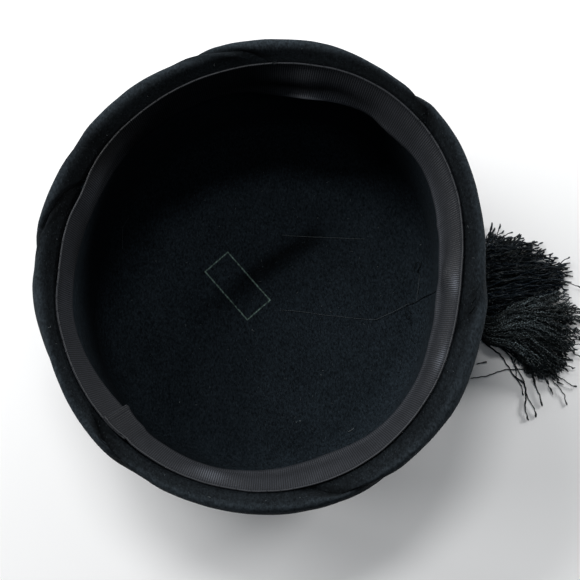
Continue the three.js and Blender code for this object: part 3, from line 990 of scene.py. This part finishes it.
def make_threads(name, threads, material, sides=5, replaced=(), painted_shades_and_dyes=None):
    """One piece of many threads. A thread is its points in metres and a radius for each, and dyes is how
    much each one's colour is scaled: its dye, and in the tassel's locks painted shade too."""
    rng = random.Random(len(threads))
    vertices, faces, uvs, shades = [], [], [], []
    for index, (points, radii) in enumerate(threads):
        ring_vertices, ring_uvs = thread_rings(points, radii, sides)
        faces += thread_faces(len(points), sides, len(vertices))
        vertices += ring_vertices
        turn = rng.random()
        uvs += [(u + turn, v) for u, v in ring_uvs]
        shades += [painted_shades_and_dyes[index] if painted_shades_and_dyes else 1.0] * len(ring_vertices)
    piece = make_piece(name, vertices, faces, material, replaced)
    set_map(piece, uvs)
    set_shares(piece, "painted_shade_and_dye", shades)


def through(stops, step=0.6):
    """Points about step millimetres apart on a smooth line through stops in millimetres, in metres."""
    stops = [Vector(stop) for stop in stops]
    points = []
    for index, (first, second) in enumerate(zip(stops, stops[1:])):
        near = neighbours(stops, index)
        count = max(2, round((second - first).length / step))
        for part in range(count):
            points.append(Vector([
                even_curve([stop[axis] for stop in near], part / count) for axis in range(3)
            ]) * MM)
    points.append(stops[-1] * MM)
    return points


def top_of(*pieces):
    """Search trees to find the tops of pieces with."""
    return [
        BVHTree.FromPolygons([v.co for v in piece.data.vertices], [p.vertices for p in piece.data.polygons])
        for piece in pieces
    ]


LAID_FROM = 0.3  # the height in metres from which threads are let down
THIN_END = 0.4  # the radius of a laid thread's end, as a share of its own


def laid(trees, stops, radius, step=0.4, sag=math.inf):
    """A thread through stops of x, y and height over what lies under them, with thinner ends. Over a gap it
    sinks no more than sag millimetres under the highest place that it crosses."""
    line, tops = through(stops, step), []
    for point in line:
        above = Vector((point.x, point.y, LAID_FROM))
        hits = [tree.ray_cast(above, Vector((0, 0, -1)))[0] for tree in trees]
        heights = [hit.z for hit in hits if hit is not None]
        if not heights:
            raise RuntimeError(f"nothing lies under the thread at {tuple(point)}")
        tops.append(max(heights))
    lowest = max(tops) - sag * MM
    points = [
        Vector((point.x, point.y, max(top, lowest) + point.z + radius * MM))
        for point, top in zip(line, tops)
    ]
    radii = [radius * MM] * len(points)
    radii[0] = radii[-1] = radius * THIN_END * MM
    return points, radii


# Threads inside the crown: stops of x, y and height over the felt.
PALE_THREADS = [
    [(8.7, 29.6, 0.1), (15, 29.1, 0.2), (22.4, 28.9, 0.1), (36, 28.1, 0.3), (49.3, 27.6, 0.1)],
    [
        (7.7, -7.4, 0.1), (14, -7.8, 0.3), (21.3, -8.6, 0.1), (27, -9.6, 0.2), (34.5, -10.3, 0),
        (45, -11.5, 0.2), (53.9, -12.0, 0.1), (58.5, -10.2, 0.4), (63.6, -7.9, 0.5), (68.5, -5.2, 0.6),
        (71.0, -4.2, 0.3),
    ],
    [(75.6, 9.8, 0.1), (75.2, 5, 0.3), (74.4, -0.4, 0.3), (74.1, -3.2, 0.1)],
    [(-69.3, 22.6, 0.1), (-69.2, 28, 0.2), (-68.8, 33.4, 0.1), (-66.2, 37.6, 0.2)],
]
BLACK_THREADS = [
    [(70.6, -4.4, 0.3), (73.5, -3.7, 0.5), (76, -2.2, 0.3), (79, -0.9, 0.4), (82.8, -0.3, 0.1)],
    [
        (73.4, 10.4, 0.2), (73.1, 13, 0.7), (74.5, 15.9, 0.9), (75.9, 14.6, 0.7), (75, 12.2, 0.5),
        (75.6, 9.8, 0.1),
    ],
    [(74.2, 11.2, 0.3), (75.5, 13.2, 1.1), (76.6, 16.2, 0.1)],
    [
        (68.8, -3.8, 0.1), (69.2, -6.5, 0.9), (68.6, -9.4, 0.7), (69.7, -11.8, 0.4), (70.9, -9.6, 0.8),
        (70.3, -7.2, 0.2),
    ],
    [(69.2, -9.6, 0.2), (71, -12.2, 1.0), (71.3, -15.2, 0.1)],
]

# Tacks that hold the folds down, on top of the drape.
TACKS = [
    [(67.4, 65.2, 0), (68.5, 66.0, 0.25), (69.6, 66.6, 0)],
    [(68.6, 67.6, 0), (69.6, 68.1, 0.25), (70.7, 68.4, 0)],
    [(87.2, -17.9, 0), (88.6, -16.4, 0.25), (89.6, -15.0, 0)],
    [(88.4, -13.6, 0), (89.6, -12.0, 0.25), (90.4, -10.5, 0)],
    [(90.0, -8.8, 0), (90.9, -7.2, 0.25), (91.4, -5.6, 0)],
    [
        (4.8, 90.8, 0.1), (5.8, 91.6, 0.7), (6.6, 91.0, 0.8), (5.9, 90.2, 0.6), (5.2, 91.0, 0.4),
        (6.9, 91.8, 0.1),
    ],
]
PALE_RADIUS, BLACK_RADIUS, TACK_RADIUS = 0.12, 0.17, 0.13
TACK_SAG = 0.6

# The slanting stitches along the sweatband's sewn edge, from how far inside it to how far outside it they
# reach, in shares of their length, and by how much their pitch varies.
RIBBON_STITCH = dict(
    pitch=6.4, length=1.4, slant=0.8, radius=0.09, sag=0.5, inside=0.45, outside=0.7, end_height=-0.05,
    middle_height=0.12, pitch_varies=(0.85, 1.15),
)

# Specks and fibres of lint on the felt: x, y, length and direction.
LINT = [
    (37.8, 61.2, 0.7, 20), (-5.8, -17.1, 1.0, 80), (27.6, -38.9, 0.8, 110), (28.6, -36.9, 0.6, 30),
    (17.4, -61, 0.9, 10), (41.8, -65.3, 3.4, 32), (-17.4, -26.8, 0.7, 140), (26.3, 38.1, 0.8, 70),
    (76.2, 24.2, 0.7, 15), (-40.6, -52.0, 0.6, 50), (-22.0, 34.0, 0.5, 0), (55.5, 14.0, 0.6, 120),
]

# More fibres, scattered over the tip, with a share of them on the drape just past the sweatband's sewn edge.
FIBRES = dict(count=110, tip=66, on_drape=0.15, past_edge=(2, 5.5), lengths=(0.3, 0.4, 0.5, 1.2))
FIBRE_RADIUS, SPECK_RADIUS, LONG_SPECK_RADIUS = 0.06, 0.16, 0.11
LONG_SPECK = 1.1
INSIDE = 80  # within this radius only the crown lies under the lint


def build_sewing():
    crown, drape, ribbon = (bpy.data.objects[name] for name in ("crown_felt", "drape", "ribbon"))
    floor, ring = top_of(crown), top_of(drape, ribbon)
    pale = [laid(floor, stops, PALE_RADIUS) for stops in PALE_THREADS]
    black = [laid(floor, stops, BLACK_RADIUS) for stops in BLACK_THREADS]
    tacks = [laid(ring, stops, TACK_RADIUS, step=0.3, sag=TACK_SAG) for stops in TACKS]
    make_threads("pale_threads", pale, "tacking_thread")
    make_threads("black_threads", black, "sewing_thread")
    make_threads("fold_tacks", tacks, "sewing_thread")
    rng = random.Random(5)
    stitch, stitches, angle = RIBBON_STITCH, [], 0.0
    while angle < 360:
        radius = opening_radius(angle)
        slant = math.degrees(stitch["slant"] / radius)
        first = place(angle, radius - stitch["length"] * stitch["inside"], 0) / MM
        last = place(angle + slant, radius + stitch["length"] * stitch["outside"], 0) / MM
        middle = (first + last) / 2
        first.z = last.z = stitch["end_height"]
        middle.z = stitch["middle_height"]
        stops = [first, middle, last]
        stitches.append(laid(ring, stops, stitch["radius"], step=0.25, sag=stitch["sag"]))
        angle += math.degrees(stitch["pitch"] / radius) * rng.uniform(*stitch["pitch_varies"])
    make_threads("ribbon_stitches", stitches, "sewing_thread", sides=4)


def build_lint():
    rng = random.Random(9)
    crown, drape = bpy.data.objects["crown_felt"], bpy.data.objects["drape"]
    floor, felt = top_of(crown), top_of(crown, drape)
    specks = list(LINT)
    for _ in range(FIBRES["count"]):
        angle, away = rng.uniform(0, 360), FIBRES["tip"] * rng.uniform(0, 1) ** 0.5
        if rng.random() < FIBRES["on_drape"]:
            away = opening_radius(angle) + rng.uniform(*FIBRES["past_edge"])
        spot = place(angle, away, 0) / MM
        specks.append((spot.x, spot.y, rng.choice(FIBRES["lengths"]), rng.uniform(0, 180)))
    threads = []
    for index, (x, y, length, direction) in enumerate(specks):
        turn = math.radians(direction)
        half = Vector((math.cos(turn), math.sin(turn))) * length / 2
        bend = Vector((-half.y, half.x)) * rng.uniform(-0.5, 0.5) / max(1, length)
        radius = SPECK_RADIUS if length < LONG_SPECK else LONG_SPECK_RADIUS
        if index >= len(LINT):
            radius = FIBRE_RADIUS
        stops = [(x - half.x, y - half.y, 0), (x + bend.x, y + bend.y, 0.1), (x + half.x, y + half.y, 0)]
        threads.append(laid(floor if math.hypot(x, y) < INSIDE else felt, stops, radius, step=0.25))
    make_threads("lint", threads, "pale_lint", sides=4)


# The tassel


# The tassel's root: an egg along X with its middle at x and height, and windings of thread round it from
# first to last, which get smaller as on an egg of half length round_off.
KNOT = dict(
    x=91.4, height=5.2, half_sizes=(6.0, 8.0, 4.7), windings=17, first=-5.2, last=5.6, round_off=6.9,
    winding_length=7.0, thread=0.045,
)


def set_on_knot(half_sizes, x):
    """Lays the new primitive along X, scales it and moves it to its place on the knot."""
    bpy.ops.transform.rotate(value=math.pi / 2, orient_axis="Y", center_override=(0, 0, 0))
    bpy.ops.object.transform_apply(location=True, rotation=True, scale=True)
    bpy.ops.transform.resize(value=[half * MM for half in half_sizes], center_override=(0, 0, 0))
    bpy.ops.transform.translate(value=(x * MM, 0, KNOT["height"] * MM))
    return bpy.context.active_object


def build_tassel_knot():
    """The bound root of the tassel: a flattened egg with thread wound round it."""
    bpy.ops.object.select_all(action="DESELECT")
    bpy.ops.mesh.primitive_uv_sphere_add(segments=48, ring_count=24, radius=1.0, location=(0, 0, 0))
    core = set_on_knot(KNOT["half_sizes"], KNOT["x"])
    core.name = "tassel_knot"
    _, wide, high = KNOT["half_sizes"]
    parts = [core]
    for winding in range(KNOT["windings"]):
        x = mix(KNOT["first"], KNOT["last"], (winding + 0.5) / KNOT["windings"])
        size = math.sqrt(max(0.0, 1 - (x / KNOT["round_off"]) ** 2))
        bpy.ops.mesh.primitive_torus_add(
            major_segments=40, minor_segments=8, major_radius=1.0, minor_radius=KNOT["thread"],
            location=(0, 0, 0),
        )
        parts.append(set_on_knot((KNOT["winding_length"], wide * size, high * size), KNOT["x"] + x))
    bpy.ops.object.select_all(action="DESELECT")
    for part in parts:
        part.select_set(True)
    bpy.context.view_layer.objects.active = core
    bpy.ops.object.join()
    bpy.ops.object.transform_apply(location=True, rotation=True, scale=True)
    bpy.ops.object.shade_smooth()
    core.data.materials.clear()
    core.data.materials.append(bpy.data.materials["wound_thread"])
    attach(core, BODY)
    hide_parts("tassel_head")


# The threads of the tassel: where they start and pass the drape's edge, how far their line goes on past their
# end, how high over the floor they stay, their radius, and how the last millimetres swell to a tuft.
TASSEL = dict(
    root=95.0, edge=106.5, past_end=4, floor=0.4, thread=0.25, steps=44, tuft=0.9, tuft_from=3.0,
    tuft_over=1.2, tuft_end=0.55,
)

# The locks of the tassel. Their threads cling together in bundles: cling is how far a thread lies from its
# bundle and cross how far bundles cross each other, as shares of the lock's width. root is from where to
# where the lock's root is wide, wave and crinkle how much its threads wave and crinkle, and low and high how
# high its bottom and its top layer lie.
# Each row is a thread, from one side of the lock to the other: where it passes the edge of the drape, its
# middle and its end. The lower lock lies over the upper one.
LOCKS = [
    dict(
        name="tassel_upper_threads", material="smooth_rayon", replaces=["tassel_skirt"], seed=11,
        threads=400, bundles=50, cling=0.03, cross=0.05, root=(-3.5, 7), wave=0.9, crinkle=0.10,
        low=0.0, high=8.5,
        rows=table(
            "share edge_y middle end",
            (0, -11.5, (121, -9), (139.5, -3)),
            (0.25, -2, (123, 1), (143.5, 4)),
            (0.5, 5, (122, 8), (147, 10)),
            (0.7, 12, (119.5, 15.5), (140, 20)),
            (0.85, 17.5, (115.5, 22), (129, 27.5)),
            (1, 22.5, (110, 26), (114.5, 31)),
        ),
    ),
    dict(
        name="tassel_lower_threads", material="crimped_rayon", replaces=[], seed=12,
        threads=430, bundles=90, cling=0.06, cross=0.10, root=(-7, 1), wave=0.8, crinkle=0.42,
        low=1.0, high=12.5,
        rows=table(
            "share edge_y middle end",
            (0, -22.6, (120, -25.6), (131.5, -40)),
            (0.15, -22.3, (120.5, -26), (138.5, -42.5)),
            (0.35, -20, (123, -21.5), (147, -35.5)),
            (0.55, -18, (124, -15), (152.5, -25)),
            (0.75, -16.5, (124, -10), (154.5, -14)),
            (0.9, -14, (124, -8.6), (153, -5)),
            (1, -12, (121.5, -6), (144, 1)),
        ),
    ),
]
LOCK_HEIGHTS = [(0, 0.8), (0.16, 1), (0.4, 1), (0.65, 0.85), (0.87, 0.55), (1, 0.2)]

# How a bundle and a thread in it stray from their row: the lengths of a thread's waves, how far they swing
# it aside and up and how soon past the root they do, and the hook at its tip.
STRAYING = dict(
    bundle_reach=(0.88, 1.0), thread_reach=(0.9, 1.05), bundle_end=1.6, thread_middle=0.5, thread_end=0.8,
    long=(13, 24), short=(6, 10), crimp=(2.4, 3.6), long_swing=0.35, short_swing=0.18, lift=0.4,
    loosens=2.2, hook=1.3, hook_from=0.84, hook_over=0.16,
)

# Painted shade among a lock's layers: how dark its threads are at the bottom and on top, and how unevenly
# their dye differs at random.
SHADE_AND_DYE = dict(bottom=0.4, top=1.2, strength=3.2, unevenness=2.2)


def scatter(rng):
    return Vector((rng.gauss(0, 1), rng.gauss(0, 1)))


def make_bundle(rng, lock, index):
    """A bundle of threads that cling together: its share of the lock's width and how it strays."""
    return dict(
        share=(index + rng.random()) / lock["bundles"],
        cross=rng.gauss(0, lock["cross"]),
        reach=rng.uniform(*STRAYING["bundle_reach"]),
        middle=scatter(rng) * lock["wave"],
        end=scatter(rng) * lock["wave"] * STRAYING["bundle_end"],
    )


def tassel_stops(rng, lock, bundle):
    """Where one thread of a bundle starts and passes the drape's edge, its middle and its end."""
    rows = lock["rows"]
    share = min(max(bundle["share"] + rng.gauss(0, lock["cling"]), 0), 1)
    stops = [Vector((TASSEL["root"], mix(*lock["root"], share)))]
    stops.append(Vector((TASSEL["edge"], between([(row["share"], row["edge_y"]) for row in rows], share))))
    for stop in ("middle", "end"):
        share = min(max(share + bundle["cross"] + rng.gauss(0, lock["cling"]), 0), 1)
        stops.append(between([(row["share"], Vector(row[stop])) for row in rows], share))
    stops[2] += bundle["middle"] + scatter(rng) * lock["wave"] * STRAYING["thread_middle"]
    stops[3] += bundle["end"] + scatter(rng) * lock["wave"] * STRAYING["thread_end"]
    return stops


def tassel_thread(rng, lock, bundle, layer):
    """One thread of a bundle, in a layer between 0 at the bottom and 1 on top."""
    stops = tassel_stops(rng, lock, bundle)
    ahead = (stops[3] - stops[2]).normalized()
    stops.append(stops[3] + ahead * TASSEL["past_end"])
    lengths = [0.0]
    for first, second in zip(stops, stops[1:]):
        lengths.append(lengths[-1] + (second - first).length)
    length = lengths[3] * (bundle["reach"] * rng.uniform(*STRAYING["thread_reach"]))
    phases = [rng.uniform(0, math.tau) for _ in range(6)]
    sizes = [rng.uniform(*STRAYING[wave]) for wave in ("long", "short", "crimp", "crimp")]
    hook = rng.gauss(0, STRAYING["hook"])

    def swing(along, size, phase):
        return math.sin(math.tau * along / sizes[size] + phases[phase])

    points, radii = [], []
    for index in range(TASSEL["steps"] + 1):
        along = length * index / TASSEL["steps"]
        gone = along / length
        number = next(n for n in range(4) if along <= lengths[n + 1] or n == 3)
        part = (along - lengths[number]) / (lengths[number + 1] - lengths[number])
        near = neighbours(stops, number)
        x, y = (even_curve([stop[axis] for stop in near], part) for axis in range(2))
        loose = min(1.0, gone * STRAYING["loosens"])
        aside = STRAYING["long_swing"] * lock["wave"] * swing(along, 0, 0)
        aside += STRAYING["short_swing"] * lock["wave"] * swing(along, 1, 1)
        aside += lock["crinkle"] * swing(along, 2, 2)
        sway = loose * aside + hook * smooth((gone - STRAYING["hook_from"]) / STRAYING["hook_over"]) ** 2
        bed = between(LOCK_HEIGHTS, gone) * mix(lock["low"], lock["high"], layer)
        bed += loose * (STRAYING["lift"] * swing(along, 1, 3) + lock["crinkle"] * swing(along, 3, 4))
        from_end = along - length
        tuft = smooth((from_end + TASSEL["tuft_from"]) / TASSEL["tuft_over"])
        thick = TASSEL["thread"] * (1 + TASSEL["tuft"] * tuft)
        if index == TASSEL["steps"]:
            thick *= TASSEL["tuft_end"]
        z = TASSEL["floor"] + max(TASSEL["thread"] + bed, thick)
        points.append(Vector((x - ahead.y * sway, y + ahead.x * sway, z)) * MM)
        radii.append(thick * MM)
    return points, radii


# Threads outside the locks: stops of x, y and height. The first few are two threads side by side.
DOUBLED_STRAYS = 3
STRAYS = [
    [
        (106, -23, 2), (110.2, -25.8, 1.6), (114.5, -29.6, 1.2), (118.2, -34.5, 1), (120.5, -38.9, 1.4),
        (123.4, -41.3, 1), (126.2, -43.7, 1.2), (126.6, -49, 0.8), (125.9, -55.2, 1), (126.4, -57.2, 0.8),
        (127.7, -60.5, 0.6),
    ],
    [
        (108, -22, 2.4), (114.5, -25.8, 2), (119.3, -30.1, 1.4), (123.5, -37.4, 1), (125.8, -42.2, 1.6),
        (127.1, -48.5, 1), (129.4, -53.8, 1.2), (131.2, -57.2, 0.8), (131.2, -59.1, 0.6),
    ],
    [
        (110, -23, 2.4), (118.4, -27.7, 2), (124.1, -32.6, 1.4), (128.8, -36.9, 1), (131.1, -41.3, 1.4),
        (131.5, -44.2, 1), (133.3, -49, 1), (134.2, -53.8, 0.6),
    ],
    [(99.8, -40.3, 0.5), (108, -39.3, 0.9), (114.4, -36.9, 0.6), (120.2, -35.9, 0.9), (128.9, -36.2, 0.6)],
    [(103.2, -33.5, 0.5), (105.6, -32.8, 0.9), (108.1, -32.6, 0.6)],
    [(136, 6, 7), (141.9, 12.2, 5), (145.4, 16.2, 4), (149.4, 18.6, 3)],
    [(134, 5, 7), (141, 6.9, 5), (147.3, 6.2, 4), (154, 3.5, 3)],
    [(138, -37, 2), (143.7, -40.3, 1.4), (148.5, -43.7, 1), (151.3, -44.6, 0.8)],
    [(136, -37, 2), (141.2, -43.2, 1.4), (144.5, -47.1, 1), (146.3, -53.3, 0.6)],
    [(120, -30, 1.6), (121.8, -35, 1.2), (122.2, -40.5, 1), (124.6, -44.5, 1.2), (125.2, -48.5, 0.6)],
    [(107, 14, 6), (109, 22, 5), (110.5, 28, 4), (112.4, 32.0, 3)],
    [(109, 14, 6), (113.4, 24, 5), (118, 29.4, 4), (121.8, 31, 3)],
    [(112, 14, 6), (119, 23, 5), (123, 26.5, 4), (127, 28.2, 3)],
]

# A stray thread: its radius as a share of the others', how it wanders from its stops, how many of its last
# points swell, and how far away a second one lies beside it.
STRAY = dict(step=0.5, radius=0.9, wander=0.5, wander_size=2.2, tip_points=7, tip=2.0, end=0.5, beside=0.55)


def stray(stops, aside=0.0):
    """A thread outside the locks, moved aside and a little back and up."""
    moved = [(x - aside * 0.6, y + aside, z + aside * 0.5) for x, y, z in stops]
    points = []
    for point in through(moved, STRAY["step"]):
        wander = Vector([ripple(point, STRAY["wander_size"], seed) for seed in (8, 9)] + [0])
        points.append(point + wander * STRAY["wander"] * MM)
    radii = [TASSEL["thread"] * STRAY["radius"] * MM] * len(points)
    tip_points = STRAY["tip_points"]
    for index in range(min(tip_points, len(points))):
        radii[-1 - index] *= mix(STRAY["tip"], 1.0, smooth(index / (tip_points - 1)))
    radii[-1] *= STRAY["end"]
    return points, radii


def build_tassel():
    strays = [stray(stops) for stops in STRAYS]
    strays += [stray(stops, STRAY["beside"]) for stops in STRAYS[:DOUBLED_STRAYS]]
    make_threads("tassel_stray_threads", strays, "smooth_rayon", sides=6)
    for lock in LOCKS:
        rng = random.Random(lock["seed"])
        bundles = [make_bundle(rng, lock, index) for index in range(lock["bundles"])]
        layers = [rng.random() for _ in range(lock["threads"])]
        threads = [
            tassel_thread(rng, lock, bundles[index % lock["bundles"]], layer)
            for index, layer in enumerate(layers)
        ]
        # Threads deeper in a lock are painted darker, as shade among the layers, and their dye differs at
        # random.
        painted_shades_and_dyes = [
            mix(SHADE_AND_DYE["bottom"], SHADE_AND_DYE["top"], layer) * SHADE_AND_DYE["strength"] * rng.random() ** SHADE_AND_DYE["unevenness"]
            for layer in layers
        ]
        make_threads(lock["name"], threads, lock["material"], replaced=lock["replaces"], painted_shades_and_dyes=painted_shades_and_dyes)


# The stage


# Soft lights: azimuth, elevation, power, width and height. All are as far from the point they aim at.
LIGHTS = [
    ("key_light", 103, 65, 2.7, 0.55, 0.22),
    ("window_light", 138, 36, 8.0, 1.3, 0.6),
    ("low_left_light", 180, 15, 3.6, 0.5, 0.3),
    ("low_far_light", 72, 15, 1.2, 0.5, 0.3),
    ("low_right_light", 33, 15, 5.6, 0.5, 0.3),
    ("top_light", 330, 75, 0.45, 0.5, 0.5),
]
LAMP_AIM, LAMP_DISTANCE = (0, 0, 0.05), 1.4
CAMERA = dict(target=(12.59, -7.89, 82.4), elevation=82.63, distance=0.5092, lens=75.13, sensor=36.0)
FLOOR_RADIUS = 1.25
FLOOR_GREY, BACKDROP_GREY = (0.94, 0.94, 0.94), (0.93, 0.93, 0.93)
FILL_COLOUR = (0.6, 0.92, 1.25)


def look_from(thing, aim, away, distance):
    """Sets a lamp or camera at a distance from its aim, turned towards it."""
    bpy.context.collection.objects.link(thing)
    thing.location = aim + away * distance
    thing.rotation_euler = (-away).to_track_quat("-Z", "Y").to_euler()


def build_floor(context):
    bpy.ops.object.select_all(action="DESELECT")
    bpy.ops.mesh.primitive_circle_add(
        vertices=96, radius=FLOOR_RADIUS, fill_type="NGON", location=(0, 0, 0)
    )
    floor = context.active_object
    floor.name = "floor"
    mottled_material("floor_paper", FLOOR_GREY, roughness=0.9, specular=0.2, scale=6, tones=(0.98, 1.0))
    floor.data.materials.append(bpy.data.materials["floor_paper"])


def build_world(context):
    """A soft bluish light from all round, in front of a plain pale backdrop."""
    world = bpy.data.worlds.new("studio")
    world.use_nodes = True
    nodes, links = world.node_tree.nodes, world.node_tree.links
    fill, backdrop = nodes["Background"], nodes.new("ShaderNodeBackground")
    fill.inputs["Color"].default_value = (*FILL_COLOUR, 1)
    fill.inputs["Strength"].default_value = context.scene.hat_stage.fill
    backdrop.inputs["Color"].default_value = (*BACKDROP_GREY, 1)
    seen = nodes.new("ShaderNodeMixShader")
    links.new(nodes.new("ShaderNodeLightPath").outputs["Is Camera Ray"], seen.inputs[0])
    links.new(fill.outputs[0], seen.inputs[1])
    links.new(backdrop.outputs[0], seen.inputs[2])
    links.new(seen.outputs[0], nodes["World Output"].inputs["Surface"])
    context.scene.world = world


def build_lights(context):
    for name, azimuth, elevation, power, width, height in LIGHTS:
        light = bpy.data.lights.new(name, "AREA")
        light.energy = power * context.scene.hat_stage.light
        light.shape = "ELLIPSE"
        light.size, light.size_y = width, height
        turn, rise = math.radians(azimuth), math.radians(elevation)
        away = Vector((math.cos(turn) * math.cos(rise), math.sin(turn) * math.cos(rise), math.sin(rise)))
        look_from(bpy.data.objects.new(name, light), Vector(LAMP_AIM), away, LAMP_DISTANCE)


def build_camera(context):
    camera = bpy.data.objects.new("camera", bpy.data.cameras.new("camera"))
    camera.data.lens = CAMERA["lens"]
    camera.data.sensor_width = CAMERA["sensor"]
    rise = math.radians(CAMERA["elevation"])
    away = Vector((0, -math.cos(rise), math.sin(rise)))
    look_from(camera, Vector(CAMERA["target"]) * MM, away, CAMERA["distance"])
    context.scene.camera = camera
    context.scene.view_settings.view_transform = "Standard"


# The sizes and colours that a user can change


def length_property(name, description, default, precision=4):
    return FloatProperty(
        name=name, description=description, default=default, unit="LENGTH", precision=precision
    )


def colour_property(name, description, default):
    return FloatVectorProperty(
        name=name, description=description, default=default, subtype="COLOR", size=3
    )


class HatShape(bpy.types.PropertyGroup):
    opening_radius: length_property("Opening Radius", "Mean radius of the sweatband's sewn edge", 0.0891)
    felt: length_property("Felt", "Thickness of the felt", 0.0022)
    ribbon_width: length_property("Ribbon Width", "Width of the sweatband", 0.025)
    ribbon_thickness: length_property("Ribbon Thickness", "Thickness of the sweatband", 0.00045, 5)
    rib_pitch: length_property("Rib Pitch", "Distance from rib to rib of the grosgrain", 0.00096, 5)


class HatFinish(bpy.types.PropertyGroup):
    felt_colour: colour_property("Felt", "Colour of the felt", (0.0089, 0.0129, 0.0166))
    # The drape is the same felt as the crown; its lighter colour is painted light for the light its nap
    # catches.
    drape_lit_colour: colour_property(
        "Draped Felt", "Colour of the drape's longer nap", (0.0146, 0.0191, 0.0230)
    )
    stamp_colour: colour_property("Stamp", "Colour of the stamped oblong", (0.108, 0.160, 0.140))
    ribbon_colour: colour_property("Sweatband", "Colour of the grosgrain", (0.0168, 0.0186, 0.0224))
    rayon_colour: colour_property("Tassel", "Colour of the tassel's rayon", (0.0020, 0.0034, 0.0055))
    # The lower lock is crimped rayon, the same as the upper lock's; its lighter colour is painted light for
    # the glints its crimps catch.
    crimped_lit_colour: colour_property(
        "Crimped Rayon", "Colour of the tassel's crimped lower lock", (0.0220, 0.0282, 0.0305)
    )
    sewing_colour: colour_property(
        "Sewing Thread", "Colour of the black stitches", (0.0035, 0.0045, 0.0055)
    )
    tacking_colour: colour_property(
        "Tacking Thread", "Colour of the loose tacking threads", (0.055, 0.064, 0.070)
    )
    lint_colour: colour_property("Lint", "Colour of the specks of lint", (0.14, 0.158, 0.165))


class HatStage(bpy.types.PropertyGroup):
    light: FloatProperty(name="Light", description="Scales the power of the soft lights", default=2.4)
    fill: FloatProperty(name="Fill", description="Strength of the light from all round", default=0.024)


# Operators


class HAT_OT_materials(bpy.types.Operator):
    """Make the felt, ribbon and thread materials"""

    bl_idname = "hat.materials"
    bl_label = "Materials"

    def execute(self, context):
        make_materials()
        return {"FINISHED"}


class HAT_OT_stage(bpy.types.Operator):
    """Make the floor, the lights and the camera"""

    bl_idname = "hat.stage"
    bl_label = "Stage"

    def execute(self, context):
        build_floor(context)
        build_world(context)
        build_lights(context)
        build_camera(context)
        return {"FINISHED"}


class HAT_OT_crown(bpy.types.Operator):
    """Make the blocked crown with its creased tip"""

    bl_idname = "hat.crown"
    bl_label = "Crown"

    def execute(self, context):
        build_crown()
        return {"FINISHED"}


class HAT_OT_drape(bpy.types.Operator):
    """Make the folded drape round the crown's side"""

    bl_idname = "hat.drape"
    bl_label = "Drape"

    def execute(self, context):
        build_drape()
        return {"FINISHED"}


class HAT_OT_ribbon(bpy.types.Operator):
    """Make the grosgrain sweatband inside the opening"""

    bl_idname = "hat.ribbon"
    bl_label = "Sweatband"

    def execute(self, context):
        build_ribbon()
        return {"FINISHED"}


class HAT_OT_sewing(bpy.types.Operator):
    """Make the stitches, the tacks and the loose threads"""

    bl_idname = "hat.sewing"
    bl_label = "Sewing"

    def execute(self, context):
        build_sewing()
        return {"FINISHED"}


class HAT_OT_lint(bpy.types.Operator):
    """Scatter specks and fibres of lint on the felt"""

    bl_idname = "hat.lint"
    bl_label = "Lint"

    def execute(self, context):
        build_lint()
        return {"FINISHED"}


class HAT_OT_tassel_knot(bpy.types.Operator):
    """Make the wound root of the tassel"""

    bl_idname = "hat.tassel_knot"
    bl_label = "Tassel Knot"

    def execute(self, context):
        build_tassel_knot()
        return {"FINISHED"}


class HAT_OT_tassel(bpy.types.Operator):
    """Make the fanned threads of the tassel"""

    bl_idname = "hat.tassel"
    bl_label = "Tassel"

    def execute(self, context):
        build_tassel()
        return {"FINISHED"}


class HAT_PT_panel(bpy.types.Panel):
    """Lists the hat's sizes, colours and pieces"""

    bl_label = "Cocktail Hat"
    bl_idname = "HAT_PT_panel"
    bl_space_type = "VIEW_3D"
    bl_region_type = "UI"
    bl_category = "Cocktail Hat"

    def draw(self, context):
        for group in (context.scene.hat_shape, context.scene.hat_finish, context.scene.hat_stage):
            box = self.layout.box()
            for name in group.__annotations__:
                box.prop(group, name)
        for operator in OPERATORS:
            self.layout.operator(operator.bl_idname)


OPERATORS = (
    HAT_OT_materials,
    HAT_OT_stage,
    HAT_OT_crown,
    HAT_OT_drape,
    HAT_OT_ribbon,
    HAT_OT_sewing,
    HAT_OT_lint,
    HAT_OT_tassel_knot,
    HAT_OT_tassel,
)
GROUPS = (("hat_shape", HatShape), ("hat_finish", HatFinish), ("hat_stage", HatStage))


def register():
    for name, group in GROUPS:
        bpy.utils.register_class(group)
        setattr(bpy.types.Scene, name, PointerProperty(type=group))
    for operator in OPERATORS:
        bpy.utils.register_class(operator)
    bpy.utils.register_class(HAT_PT_panel)


def unregister():
    bpy.utils.unregister_class(HAT_PT_panel)
    for operator in reversed(OPERATORS):
        bpy.utils.unregister_class(operator)
    for name, group in reversed(GROUPS):
        delattr(bpy.types.Scene, name)
        bpy.utils.unregister_class(group)


def main():
    register()
    bpy.ops.hat.materials()
    bpy.ops.hat.stage()
    bpy.ops.hat.crown()
    bpy.ops.hat.drape()
    bpy.ops.hat.ribbon()
    bpy.ops.hat.sewing()
    bpy.ops.hat.lint()
    bpy.ops.hat.tassel_knot()
    bpy.ops.hat.tassel()


if __name__ == "__main__":
    main()
